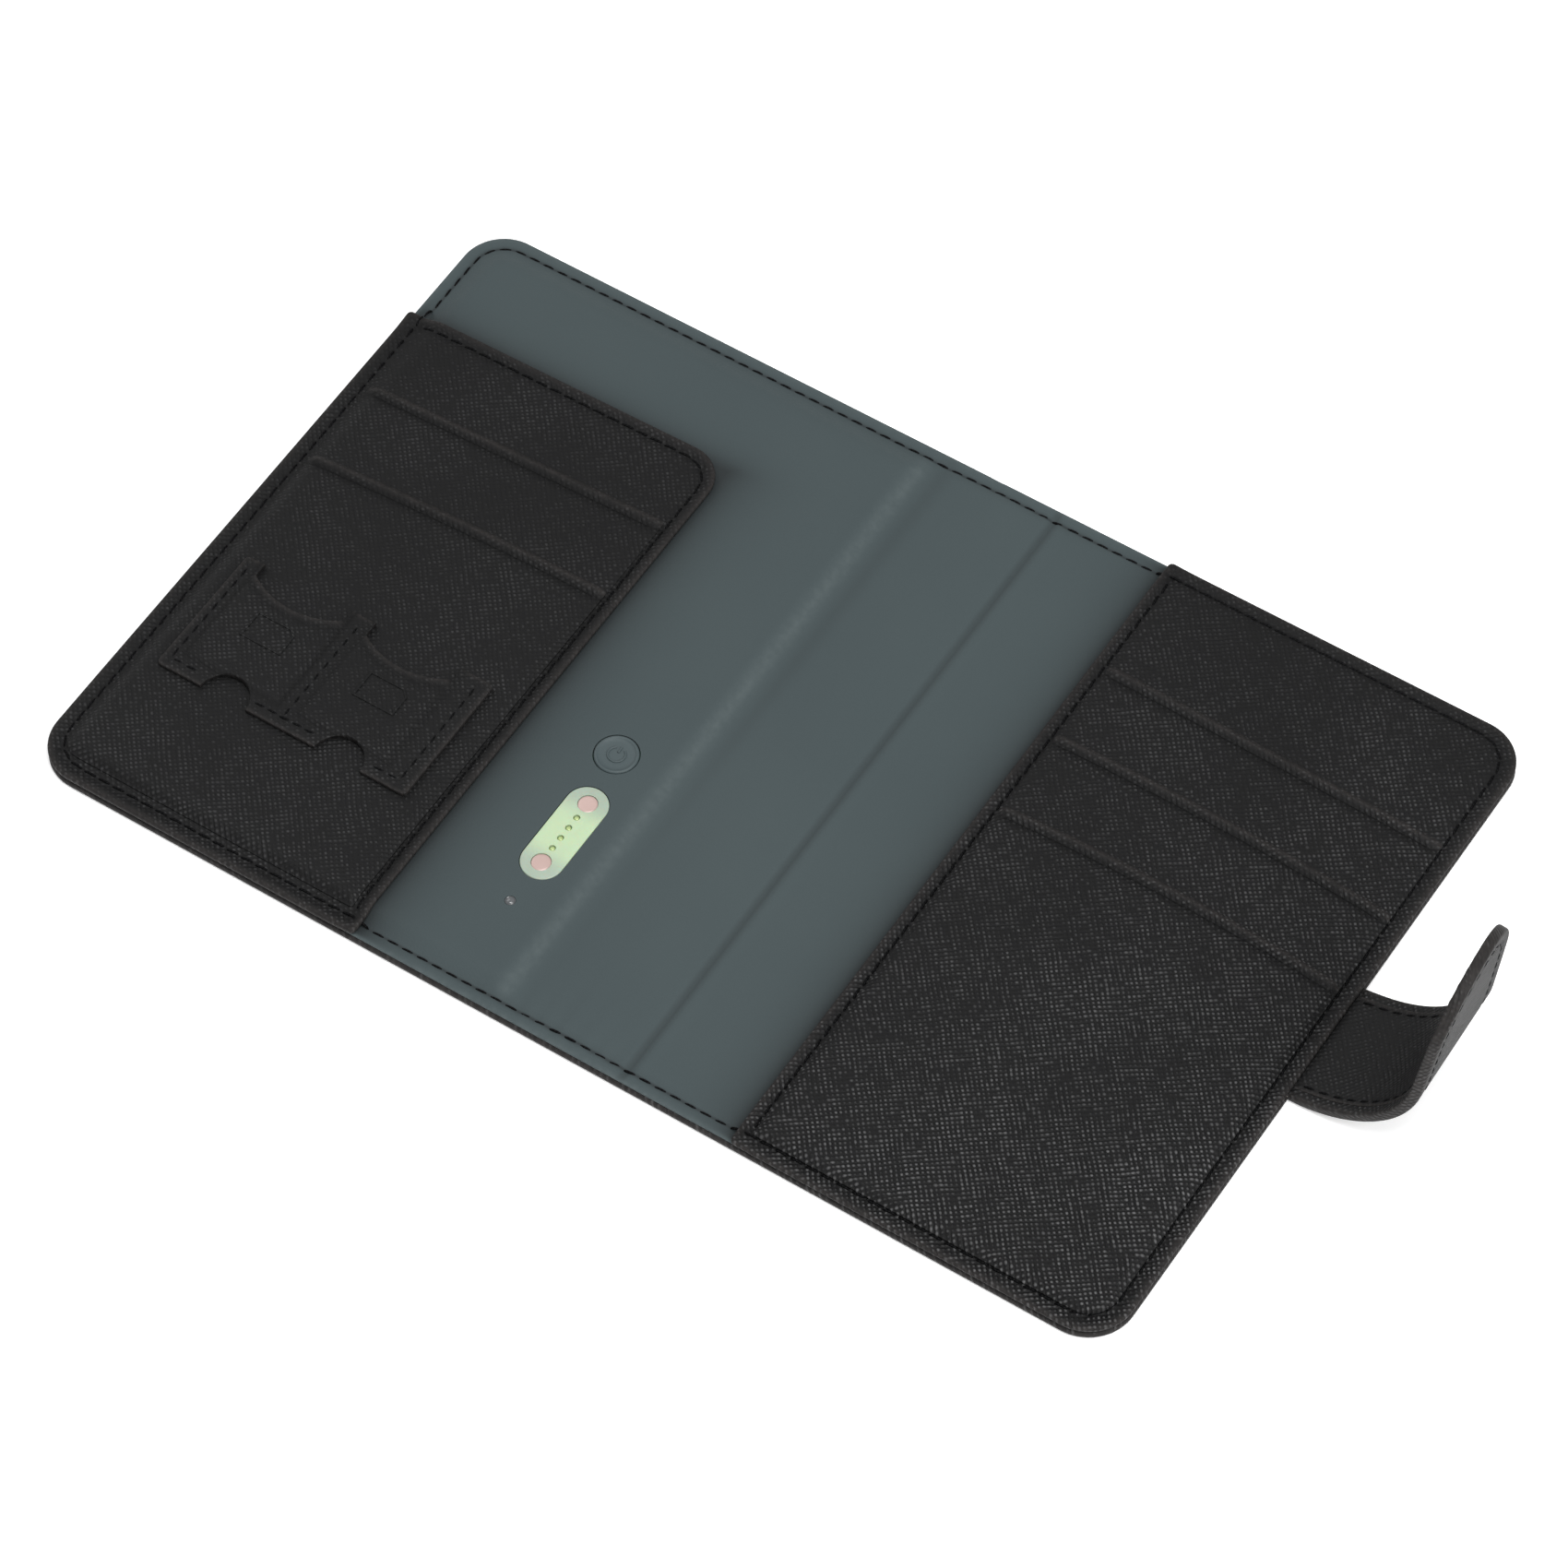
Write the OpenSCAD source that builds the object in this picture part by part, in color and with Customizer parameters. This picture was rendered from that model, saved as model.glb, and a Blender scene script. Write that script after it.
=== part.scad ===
// Folding travel wallet with a slim electronics module in the front cover.
// It lies open and flat: back cover to +X, spine in the middle, front cover to -X, lining up (+Z).
// The outer leather rests on the plane z = 0. A short closure strap leaves the back cover's fore edge,
// curls up and stands beside the wallet. Closed, both covers fold 90 degrees about the spine's edges.

/* [Covers] */
// Width of one cover, from its spine edge to its fore edge
cover_w = 99; // [96:0.5:104]
// Height of the covers and of the spine, head to tail
cover_h = 145; // [140:0.5:150]
// Radius of the four outer corners
corner_r = 9; // [6:0.5:12]
// Width of the spine between its two fold lines
spine_w = 26; // [24:0.5:30]

/* [Sheets] */
// Thickness of the outer leather
leather_t = 0.8; // [0.7:0.05:0.9]
// Width of the turned-in edge of the outer leather
turn_w = 8; // [6:0.5:9]
// Thickness of the lining
lining_t = 0.5; // [0.4:0.05:0.6]
// Thickness of the front cover's hollow under its lining, where the module lies
module_t = 1.3; // [1.2:0.05:1.6]
// Thickness of a pocket panel's top sheet
panel_t = 0.6; // [0.5:0.05:0.7]
// Thickness of one card slot sheet
slot_t = 0.4; // [0.3:0.05:0.5]

/* [Front cover pockets] */
// Width of the front pocket panel from the fore edge
front_panel_w = 70.5; // [68:0.5:72]
// Height of the front pocket panel from the tail edge
front_panel_h = 119.5; // [118:0.5:124]
// Radius of the panel's free corner
front_panel_r = 7.5; // [5:0.5:9]
// Height of the upper card slot's mouth
front_slot_1_h = 101.5; // [99:0.5:104]
// Height of the lower card slot's mouth
front_slot_2_h = 83; // [81:0.5:86]
// Distance of the small card patch from the fore edge
patch_x = 8.7; // [7:0.1:9.5]
// Distance of the small card patch from the tail edge
patch_y = 27.4; // [26:0.2:32]
// Width of the small card patch
patch_w = 53.9; // [52:0.1:55]
// Height of the small card patch
patch_h = 28; // [27:0.2:30]
// Radius of the push notches in the patch's lower edge
notch_r = 4.8; // [4:0.1:5.2]

/* [Back cover pockets] */
// Width of the back pocket panel from the fore edge
back_panel_w = 75.2; // [72:0.1:76]
// Heights of the three card slot mouths
back_slot_1_h = 118.6; // [116:0.2:121]
// Height of the middle card slot's mouth
back_slot_2_h = 101.6; // [99:0.2:104]
// Height of the lowest card slot's mouth
back_slot_3_h = 83.6; // [81:0.2:86]

/* [Strap] */
// Width of the closure strap
strap_w = 26; // [22:0.5:30]
// Thickness of one strap leaf, the strap being two leaves back to back
leaf_t = 1.1; // [0.9:0.05:1.2]
// Outer radius of the strap's upward curl
curl_r = 26.5; // [25.5:0.1:27.5]
// Angle of the curl at which the straight tab begins
curl_end = 83; // [80:0.5:86]
// Length of the straight tab beyond the curl
tab_l = 26.6; // [25:0.1:30]
// Corner radius of the tab's end
tab_r = 12; // [8:0.5:12.5]

/* [Module] */
// Distance of the module's control column from the front cover's spine edge
control_x = 9.2; // [9.0:0.1:9.8]
// Diameter of the power button's cap
button_d = 8.2; // [7.6:0.1:8.4]
// Travel of the power button
button_travel = 0.3; // [0.2:0.05:0.3]
// Width of the charge port's rounded slot
port_w = 8.1; // [7.4:0.1:8.2]
// Length of the charge port's rounded slot
port_l = 21.8; // [21:0.1:22.5]
// Distance between the charge port's contacts
contact_pitch = 2.54; // [2.4:0.02:2.7]

/* [Hidden] */
$fn = 96;
hinge_x = spine_w / 2;
hinge_z = leather_t / 2;
gap = 0.3;
cover_x0 = hinge_x + leather_t / 2 + gap;
fore_x = hinge_x + cover_w;
half_h = cover_h / 2;
turn_z = 2 * leather_t;
lining_z = turn_z + lining_t;
raised_z = turn_z + module_t + lining_t;
under_z = raised_z - lining_t;
fold_set = 2.1;
raised_x = hinge_x + 2.4;
raised_in = 5;
inset = 0.4;
seam_w = 6;
panel_edge_t = 1.2;
panel_gap = 0.2;
stitch_in = 2;
thread_w = 0.35;
thread_t = 0.15;
front_base_z = raised_z + panel_gap + panel_t;
front_slot_1_z = front_base_z + slot_t;
front_slot_2_z = front_slot_1_z + slot_t;
patch_z = front_slot_2_z + 0.9;
back_base_z = lining_z + 2 * panel_t;
back_slot_1_z = back_base_z + slot_t;
back_slot_2_z = back_slot_1_z + slot_t;
back_slot_3_z = back_slot_2_z + slot_t;
slot_in = 3;
strap_y = strap_w / 2;
mid_r = curl_r - leaf_t;
nose_r = leaf_t - 0.1;
root_x = fore_x + leaf_t + gap;
curl_x = fore_x - 2;
root_a = asin((root_x - curl_x) / mid_r);
clear_a = asin((leaf_t + gap) / mid_r);
tab_x = curl_x + mid_r * sin(curl_end);
tab_z = curl_r - mid_r * cos(curl_end);
magnet_x = 17;
port_x = -hinge_x - control_x;
port_y = -35.2;
button_x = port_x - 1.6;
button_y = -16.4;
window_y = -52.1;
board_z = leather_t + 0.1;
board_top = board_z + 0.6;
closure_x = magnet_x - 1.4 - fore_x;

leather_black = [0.13, 0.13, 0.14];
lining_grey = [0.31, 0.35, 0.36];
card_grey = [0.55, 0.53, 0.5];
resin = [0.2, 0.2, 0.22];
silver = [0.72, 0.72, 0.74];
pale_green = [0.8, 0.88, 0.75];
copper_pink = [0.75, 0.68, 0.66];
thread_black = [0.08, 0.08, 0.09];
board_green = [0.1, 0.3, 0.2];

// What is outside a rounded corner: the corner point, the way into the sheet, the radius
module corner_waste(x, y, sx, sy, r) {
  difference() {
    translate([sx > 0 ? x - 1 : x - r, sy > 0 ? y - 1 : y - r])
      square([r + 1, r + 1]);
    translate([x + sx * r, y + sy * r])
      circle(r);
  }
}

// Flat rounded sheet; radii run tail-left, tail-right, head-right, head-left
module outline(x0, x1, y0, y1, r) {
  difference() {
    translate([x0, y0])
      square([x1 - x0, y1 - y0]);
    if (r[0] > 0) corner_waste(x0, y0, 1, 1, r[0]);
    if (r[1] > 0) corner_waste(x1, y0, -1, 1, r[1]);
    if (r[2] > 0) corner_waste(x1, y1, -1, -1, r[2]);
    if (r[3] > 0) corner_waste(x0, y1, 1, -1, r[3]);
  }
}

module sheet(x0, x1, y0, y1, z0, z1, r) {
  translate([0, 0, z0])
    linear_extrude(z1 - z0)
      outline(x0, x1, y0, y1, r);
}

module disc(x, y, r, z0, z1) {
  translate([x, y, z0])
    cylinder(r = r, h = z1 - z0);
}

// Front cover sheet: given as insets from the fore, head and tail edges, and its spine side x
module front_sheet(d, x1, z0, z1) {
  sheet(-fore_x + d, x1, -half_h + d, half_h - d, z0, z1,
        [corner_r - d, 0, 0, corner_r - d]);
}

module back_sheet(d, x0, z0, z1) {
  sheet(x0, fore_x - d, -half_h + d, half_h - d, z0, z1,
        [0, corner_r - d, corner_r - d, 0]);
}

// A line of thread drawn as a rounded frame
module thread_frame(x0, x1, y0, y1, z, r) {
  translate([0, 0, z])
    linear_extrude(thread_t)
      difference() {
        outline(x0, x1, y0, y1, r);
        outline(x0 + thread_w, x1 - thread_w, y0 + thread_w, y1 - thread_w,
                [for (c = r) max(c - thread_w, 0)]);
      }
}

// Outer leather of the front cover, its edges turned in over three sides
module front_leather() {
  color(leather_black)
    difference() {
      front_sheet(0, -cover_x0, 0, turn_z);
      sheet(-fore_x + turn_w, -cover_x0 + 1, -half_h + turn_w, half_h - turn_w,
            leather_t, turn_z + 1, [2, 0, 0, 2]);
    }
}

// Moulded plate that carries the module and stiffens the front cover
module front_chassis() {
  color(resin)
    difference() {
      sheet(-fore_x + turn_w + 0.5, -raised_x - 0.8, -half_h + turn_w + 1, half_h - turn_w - 1,
            leather_t, under_z, [2, 2, 2, 2]);
      sheet(-fore_x + 28, -fore_x + 62, -half_h + 14.5, half_h - 30.5, 0, raised_z, [1, 1, 1, 1]);
      sheet(port_x - 23.6, port_x + port_w / 2 + 0.75, -half_h + 12.5, half_h - 74.5,
            0, raised_z, [1, 1, 1, 1]);
      disc(closure_x, 0, 6.5, 0, leather_t + 0.5);
    }
}

module battery_cell() {
  color(silver)
    sheet(-fore_x + 28.4, -fore_x + 61.6, -half_h + 15, half_h - 31,
          board_z, under_z - 0.1, [1, 1, 1, 1]);
}

module circuit_board() {
  color(board_green)
    sheet(port_x - 23, port_x + port_w / 2 + 0.35, -half_h + 13, half_h - 75,
          board_z, board_top, [1, 1, 1, 1]);
}

// Push switch under the power button
module button_switch() {
  color(resin) {
    sheet(button_x - 3, button_x + 3, button_y - 3, button_y + 3,
          board_top, board_top + 0.5, [0.4, 0.4, 0.4, 0.4]);
    disc(button_x, button_y, 1.4, board_top + 0.4, board_top + 0.7);
  }
}

// Steel disc that the strap's magnet holds when the wallet is shut
module closure_plate() {
  color(silver)
    disc(closure_x, 0, 6.5, leather_t, leather_t + 0.5);
}

// Lining of the front cover: a thin flange sewn at the edges and a raised middle over the module
module front_lining() {
  color(lining_grey)
    difference() {
      union() {
        front_sheet(inset, -cover_x0 + 0.1, turn_z, lining_z);
        sheet(-fore_x + raised_in, -raised_x, -half_h + raised_in, half_h - raised_in,
              turn_z, raised_z, [5, 2, 2, 5]);
      }
      sheet(-fore_x + raised_in + 0.5, -raised_x - 0.5, -half_h + raised_in + 0.5,
            half_h - raised_in - 0.5, 0, under_z, [4.5, 1.5, 1.5, 4.5]);
      disc(button_x, button_y, button_d / 2 + 0.2, 0, raised_z + 1);
      disc(port_x, window_y, 0.95, 0, raised_z + 1);
      sheet(port_x - port_w / 2, port_x + port_w / 2, port_y - port_l / 2, port_y + port_l / 2,
            0, raised_z + 1, [1, 1, 1, 1] * port_w / 2);
    }
}

// Translucent insert of the magnetic charge port
module charge_port() {
  color(pale_green)
    difference() {
      sheet(port_x - port_w / 2, port_x + port_w / 2, port_y - port_l / 2, port_y + port_l / 2,
            board_top, raised_z + 0.05, [1, 1, 1, 1] * port_w / 2);
      for (s = [-1, 1])
        disc(port_x, port_y + s * 7.3, 1.8, under_z - 0.4, raised_z + 1);
      for (i = [0:3])
        disc(port_x, port_y + (i - 1.5) * contact_pitch, 0.6, 0, raised_z + 1);
    }
}

module port_magnet(s) {
  color(copper_pink)
    disc(port_x, port_y + s * 7.3, 1.8, under_z - 0.4, raised_z + 0.1);
}

module port_magnet_head() {
  port_magnet(1);
}

module port_magnet_tail() {
  port_magnet(-1);
}

module contact(i) {
  color(silver)
    disc(port_x, port_y + (i - 1.5) * contact_pitch, 0.6, board_top, raised_z + 0.1);
}

module contact_1() {
  contact(0);
}

module contact_2() {
  contact(1);
}

module contact_3() {
  contact(2);
}

module contact_4() {
  contact(3);
}

// Small round window of the status light
module status_window() {
  color(pale_green)
    disc(port_x, window_y, 0.95, board_top, raised_z + 0.05);
}

// Passport pocket of the front cover, draped from the sewn edges over the raised lining
module front_pocket_base() {
  x1 = front_panel_w - fore_x;
  y1 = front_panel_h - half_h;
  color(leather_black)
    difference() {
      union() {
        sheet(-fore_x, x1, -half_h, y1, lining_z, lining_z + panel_edge_t,
              [corner_r, 0, front_panel_r, 0.5]);
        sheet(-fore_x + raised_in - 1, x1, -half_h + raised_in - 1, y1, lining_z, front_base_z,
              [5, 0, front_panel_r, 0.5]);
      }
      sheet(-fore_x + raised_in - 0.2, x1 + 1, -half_h + raised_in - 0.2, y1 + 1,
            0, front_base_z - panel_t, [5, 0, 0, 0]);
    }
}

module front_slot(h, z0) {
  color(leather_black)
    sheet(-fore_x + 4.2, front_panel_w - fore_x - slot_in, -half_h + 4.2, h - half_h,
          z0, z0 + slot_t, [4, 0.5, 0.5, 0.5]);
}

module front_slot_1() {
  front_slot(front_slot_1_h, front_base_z);
}

module front_slot_2() {
  front_slot(front_slot_2_h, front_slot_1_z);
}

// Two small card pockets in one patch: hollowed mouths above, half-round push notches below
module sim_patch() {
  x0 = patch_x - fore_x;
  y0 = patch_y - half_h;
  third = patch_w / 4;
  color(leather_black)
    difference() {
      sheet(x0, x0 + patch_w, y0, y0 + patch_h, front_slot_2_z, patch_z, [0.6, 0.6, 0.6, 0.6]);
      for (s = [1, 3]) {
        disc(x0 + s * third, y0 + patch_h + 14, 16.6, front_slot_2_z - 1, patch_z + 1);
        disc(x0 + s * third, y0, notch_r, front_slot_2_z - 1, patch_z + 1);
        sheet(x0 + s * third - 11.2, x0 + s * third + 11.2, y0 + 2.6, y0 + patch_h + 1,
              front_slot_2_z - 1, front_slot_2_z + 0.3, [0.5, 0.5, 0, 0]);
      }
    }
}

// Seams of the patch: both sides, the middle and the foot between the notches
module sim_thread() {
  x0 = patch_x - fore_x;
  y0 = patch_y - half_h;
  color(thread_black) {
    for (x = [1.2, patch_w / 2, patch_w - 1.6])
      translate([x0 + x, y0 + 2.2, patch_z])
        cube([thread_w, patch_h - 4.4, thread_t]);
    for (x = [[1.2, 7], [19, 34.5], [46, 52.6]])
      translate([x0 + x[0], y0 + 2, patch_z])
        cube([x[1] - x[0], thread_w, thread_t]);
  }
}

module front_panel_thread() {
  x1 = front_panel_w - fore_x;
  y1 = front_panel_h - half_h;
  color(thread_black) {
    intersection() {
      thread_frame(-fore_x + stitch_in, x1 + 9, -half_h + stitch_in, y1 + 9, lining_z + panel_edge_t,
                   [corner_r - stitch_in, 0, 0, 0]);
      translate([-fore_x, -half_h, 0])
        cube([front_panel_w - stitch_in, front_panel_h - stitch_in, raised_z]);
    }
    intersection() {
      thread_frame(-fore_x - 9, x1 - stitch_in, -half_h - 9, y1 - stitch_in, front_base_z,
                   [0, 0, front_panel_r - stitch_in, 0]);
      translate([-fore_x + raised_in, -half_h + raised_in, 0])
        cube([front_panel_w, front_panel_h, patch_z]);
    }
  }
}

// Edge seam of the front cover where its lining shows, along the head and down to the panel
module front_edge_thread() {
  color(thread_black)
    intersection() {
      thread_frame(-fore_x + stitch_in, 9, -half_h - 9, half_h - stitch_in, lining_z,
                   [0, 0, 0, corner_r - stitch_in]);
      translate([-fore_x, front_panel_h - half_h + 0.5, 0])
        cube([cover_w - 1, cover_h, raised_z]);
    }
}

// Power button: a cap with a raised ring and a plain on-off sign, over a short stem
module power_button() {
  r = button_d / 2;
  color(lining_grey)
    translate([button_x, button_y, 0]) {
      disc(0, 0, r, under_z + 0.05, raised_z);
      disc(0, 0, 1.5, board_top + 1.05, under_z + 0.1);
      difference() {
        disc(0, 0, r, raised_z - 0.1, raised_z + 0.15);
        disc(0, 0, r - 0.5, raised_z - 0.2, raised_z + 1);
      }
      difference() {
        disc(0, 0, 1.8, raised_z - 0.1, raised_z + 0.12);
        disc(0, 0, 1.35, raised_z - 0.2, raised_z + 1);
        translate([-0.7, 0, raised_z - 0.2])
          cube([1.4, 3, 1]);
      }
      translate([-0.22, 0.3, raised_z - 0.1])
        cube([0.44, 1.7, 0.22]);
    }
}

// Spine leather: a strip with a round nose on each fold line, about which the covers swing
module spine_leather() {
  color(leather_black) {
    translate([-hinge_x, -half_h, 0])
      cube([spine_w, cover_h, leather_t]);
    for (s = [-1, 1])
      translate([s * hinge_x, half_h, hinge_z])
        rotate([90, 0, 0])
          cylinder(r = leather_t / 2, h = cover_h);
    for (y = [-half_h, half_h - turn_w])
      translate([fold_set - hinge_x, y, leather_t / 2])
        cube([spine_w - 2 * fold_set, turn_w, turn_z - leather_t / 2]);
  }
}

module spine_board() {
  color(card_grey)
    sheet(fold_set - hinge_x, hinge_x - fold_set, -half_h + turn_w + 0.3, half_h - turn_w - 0.3,
          leather_t, turn_z, [1, 1, 1, 1]);
}

module spine_lining() {
  color(lining_grey)
    sheet(fold_set - hinge_x, hinge_x - fold_set, -half_h + inset, half_h - inset,
          turn_z, lining_z, [0, 0, 0, 0]);
}

// Room for the strap's anchor in the sheets of the back cover
module anchor_room(z0, z1) {
  sheet(fore_x - 16.3, fore_x + 1, -strap_y - 0.2, strap_y + 0.2, z0, z1, [0.5, 0, 0, 0.5]);
}

module back_leather() {
  color(leather_black)
    difference() {
      back_sheet(0, cover_x0, 0, turn_z);
      sheet(cover_x0 - 1, fore_x - turn_w, -half_h + turn_w, half_h - turn_w,
            leather_t, turn_z + 1, [0, 2, 2, 0]);
      anchor_room(leather_t, turn_z + 1);
    }
}

module back_board() {
  color(card_grey)
    difference() {
      sheet(hinge_x + 2.5, fore_x - turn_w - 0.3, -half_h + turn_w + 0.3, half_h - turn_w - 0.3,
            leather_t, turn_z, [1, 2, 2, 1]);
      anchor_room(0, turn_z + 1);
    }
}

module back_lining() {
  color(lining_grey)
    back_sheet(inset, cover_x0 - 0.1, turn_z, lining_z);
}

// Slip pocket of the back cover: sewn on three sides, open towards the spine
module back_pocket_base() {
  x0 = fore_x - back_panel_w;
  color(leather_black)
    difference() {
      back_sheet(0, x0, lining_z, back_base_z);
      sheet(x0 - 1, fore_x - seam_w, -half_h + seam_w, half_h - seam_w,
            0, back_base_z - panel_t, [0, 3, 3, 0]);
    }
}

module back_slot(h, z0) {
  color(leather_black)
    sheet(fore_x - back_panel_w + slot_in, fore_x - slot_in, -half_h + slot_in, h - half_h,
          z0, z0 + slot_t, [0.5, corner_r - slot_in, 0.5, 0.5]);
}

module back_slot_1() {
  back_slot(back_slot_1_h, back_base_z);
}

module back_slot_2() {
  back_slot(back_slot_2_h, back_slot_1_z);
}

module back_slot_3() {
  back_slot(back_slot_3_h, back_slot_2_z);
}

module back_panel_thread() {
  r = corner_r - stitch_in;
  color(thread_black)
    thread_frame(fore_x - back_panel_w + stitch_in, fore_x - stitch_in,
                 -half_h + stitch_in, half_h - stitch_in, back_base_z, [0, r, r, 0]);
}

// Sewn-in end of the strap, between the outer leather and the lining
module strap_anchor() {
  color(leather_black)
    sheet(fore_x - 16, fore_x - 0.1, -strap_y, strap_y, leather_t, turn_z, [0.5, 0, 0, 0.5]);
}

// Direction in the curl's own plane, a degrees round from straight down
function aim(a) = [sin(a), -cos(a)];

// Part of the curl in side view: a leaf of radius r to r + leaf_t, from angle a0 to a1
module curl_profile(r, a0, a1) {
  far = 2 * curl_r;
  intersection() {
    difference() {
      circle(r + leaf_t);
      circle(r);
    }
    polygon([[0, 0], far * aim(a0), far * aim((a0 + a1) / 2), far * aim(a1)]);
  }
}

// Turns a side view of the curl into its full width across the strap
module across_strap() {
  translate([curl_x, strap_y, curl_r])
    rotate([90, 0, 0])
      linear_extrude(strap_w)
        children();
}

// Curled leaf on the outside of the strap, with the round nose of its root fold
module strap_bridge_outer() {
  color(leather_black)
    across_strap() {
      curl_profile(mid_r, root_a, curl_end - clear_a);
      translate(mid_r * aim(root_a))
        circle(nose_r);
    }
}

module strap_bridge_inner() {
  color(leather_black)
    across_strap()
      curl_profile(mid_r - leaf_t, root_a + clear_a, curl_end - clear_a);
}

// The tab's own frame: x along the strap from the fold, z towards the wallet
module tab_frame() {
  translate([tab_x, 0, tab_z])
    rotate([0, -curl_end, 0])
      children();
}

module tab_leaf(x0, z0) {
  sheet(x0, tab_l, -strap_y, strap_y, z0, z0 + leaf_t, [0, tab_r, tab_r, 0]);
}

module magnet_room() {
  disc(magnet_x, 0, 6, -0.4, 0.4);
}

module strap_tab_outer() {
  color(leather_black)
    tab_frame()
      difference() {
        union() {
          tab_leaf(0, -leaf_t);
          translate([0, strap_y, 0])
            rotate([90, 0, 0])
              cylinder(r = nose_r, h = strap_w);
        }
        magnet_room();
      }
}

module strap_tab_inner() {
  color(leather_black)
    tab_frame()
      difference() {
        tab_leaf(leaf_t + 0.2, 0);
        magnet_room();
      }
}

module strap_magnet() {
  color(silver)
    tab_frame()
      magnet_room();
}

// Seam round the tab, drawn on its outer leaf
module strap_thread() {
  r = tab_r - 2.4;
  color(thread_black)
    tab_frame()
      thread_frame(leaf_t + 0.3, tab_l - 2.4, 2.4 - strap_y, strap_y - 2.4,
                   -leaf_t - thread_t, [0.5, r, r, 0.5]);
}

front_leather();
front_chassis();
battery_cell();
circuit_board();
button_switch();
closure_plate();
front_lining();
charge_port();
port_magnet_head();
port_magnet_tail();
contact_1();
contact_2();
contact_3();
contact_4();
status_window();
front_pocket_base();
front_slot_1();
front_slot_2();
sim_patch();
sim_thread();
front_panel_thread();
front_edge_thread();
power_button();
spine_leather();
spine_board();
spine_lining();
back_leather();
back_board();
back_lining();
back_pocket_base();
back_slot_1();
back_slot_2();
back_slot_3();
back_panel_thread();
strap_anchor();
strap_bridge_outer();
strap_bridge_inner();
strap_tab_outer();
strap_tab_inner();
strap_magnet();
strap_thread();
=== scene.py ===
# %% [markdown]
# A phone wallet lies open: two leather covers joined by a soft spine, a slate lining sewn inside,
# card pockets on both covers, a thin charging module under the front lining and a strap that curls
# up from the back cover's edge. This lesson dresses the hard frame of that wallet in its soft goods.
# The frame already knows every size and every joint, so each piece is put where the frame says.

# %% Load the frame
import math
import random

import bmesh
import bpy
import numpy as np
from mathutils import Matrix, Vector, kdtree


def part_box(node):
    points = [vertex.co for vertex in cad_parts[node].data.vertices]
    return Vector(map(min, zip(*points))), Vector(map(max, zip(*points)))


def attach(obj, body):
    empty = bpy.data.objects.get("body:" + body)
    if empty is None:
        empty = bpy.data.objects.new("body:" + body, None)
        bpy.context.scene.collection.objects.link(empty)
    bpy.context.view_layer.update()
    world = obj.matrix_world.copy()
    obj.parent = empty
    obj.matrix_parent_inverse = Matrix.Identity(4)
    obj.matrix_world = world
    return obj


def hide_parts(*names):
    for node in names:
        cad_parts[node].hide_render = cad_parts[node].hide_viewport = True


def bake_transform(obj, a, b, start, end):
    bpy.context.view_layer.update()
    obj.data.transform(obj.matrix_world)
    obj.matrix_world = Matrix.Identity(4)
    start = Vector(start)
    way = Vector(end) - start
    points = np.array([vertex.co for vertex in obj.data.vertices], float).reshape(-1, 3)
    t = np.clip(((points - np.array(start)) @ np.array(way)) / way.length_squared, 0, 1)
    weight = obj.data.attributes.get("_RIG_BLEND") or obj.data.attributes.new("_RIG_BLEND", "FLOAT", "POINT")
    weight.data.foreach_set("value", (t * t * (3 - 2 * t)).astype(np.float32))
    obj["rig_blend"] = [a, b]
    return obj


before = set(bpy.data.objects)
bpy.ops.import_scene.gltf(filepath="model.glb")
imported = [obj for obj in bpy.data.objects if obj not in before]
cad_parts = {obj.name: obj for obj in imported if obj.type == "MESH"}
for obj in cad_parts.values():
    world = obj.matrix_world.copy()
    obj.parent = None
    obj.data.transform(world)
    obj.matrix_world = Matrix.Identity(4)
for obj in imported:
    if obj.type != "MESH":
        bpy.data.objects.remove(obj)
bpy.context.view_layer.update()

scene = bpy.context.scene

# %% [markdown]
# The leather work is measured in millimetres, as a maker would, and made metres at the very end.
# The main levels are read off the frame's own solids: how far the covers reach, how high the turned
# edges, the lining and the pocket panels stand above the table.

# %% Sizes of the frame, in millimetres
def span(node):
    low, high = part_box(node)
    return [c * 1000 for c in (low.x, high.x, low.y, high.y, low.z, high.z)]


def middle(box):
    return (box[0] + box[1]) / 2, (box[2] + box[3]) / 2


FORE = span("back_leather")[1]
HALF = span("back_leather")[3]
TURN_Z = span("back_leather")[5]
LINING_Z = span("back_lining")[5]
RAISED_Z = span("front_lining")[5]
HINGE = span("spine_leather")[1] - 0.4
CORNER = 9.0
WHOLE = (-FORE, FORE, -HALF, HALF)
print(f"cover reach {FORE:.1f}, half height {HALF:.1f}, lining {LINING_Z:.1f}/{RAISED_Z:.1f} mm")

# %% Where the two pocket panels lie
PF, PB = span("front_pocket_base"), span("back_pocket_base")
FRONT_PANEL, FRONT_PANEL_R = tuple(PF[:4]), (CORNER, 0.9, 7.5, 0.9)
BACK_PANEL, BACK_PANEL_R = tuple(PB[:4]), (0.9, CORNER, CORNER, 0.9)
print("front panel", [round(v, 1) for v in FRONT_PANEL], "back", [round(v, 1) for v in BACK_PANEL])

# %% [markdown]
# The first studio things are the camera, the floor and the lights, so every later step can be
# looked at. The camera stands high over the near right corner with a long lens, which keeps the
# edges of the open wallet almost parallel. The floor is plain and pale. Large soft lamps stand in
# for the windows of a product studio: soft light shows leather grain without hard shadows.

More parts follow.
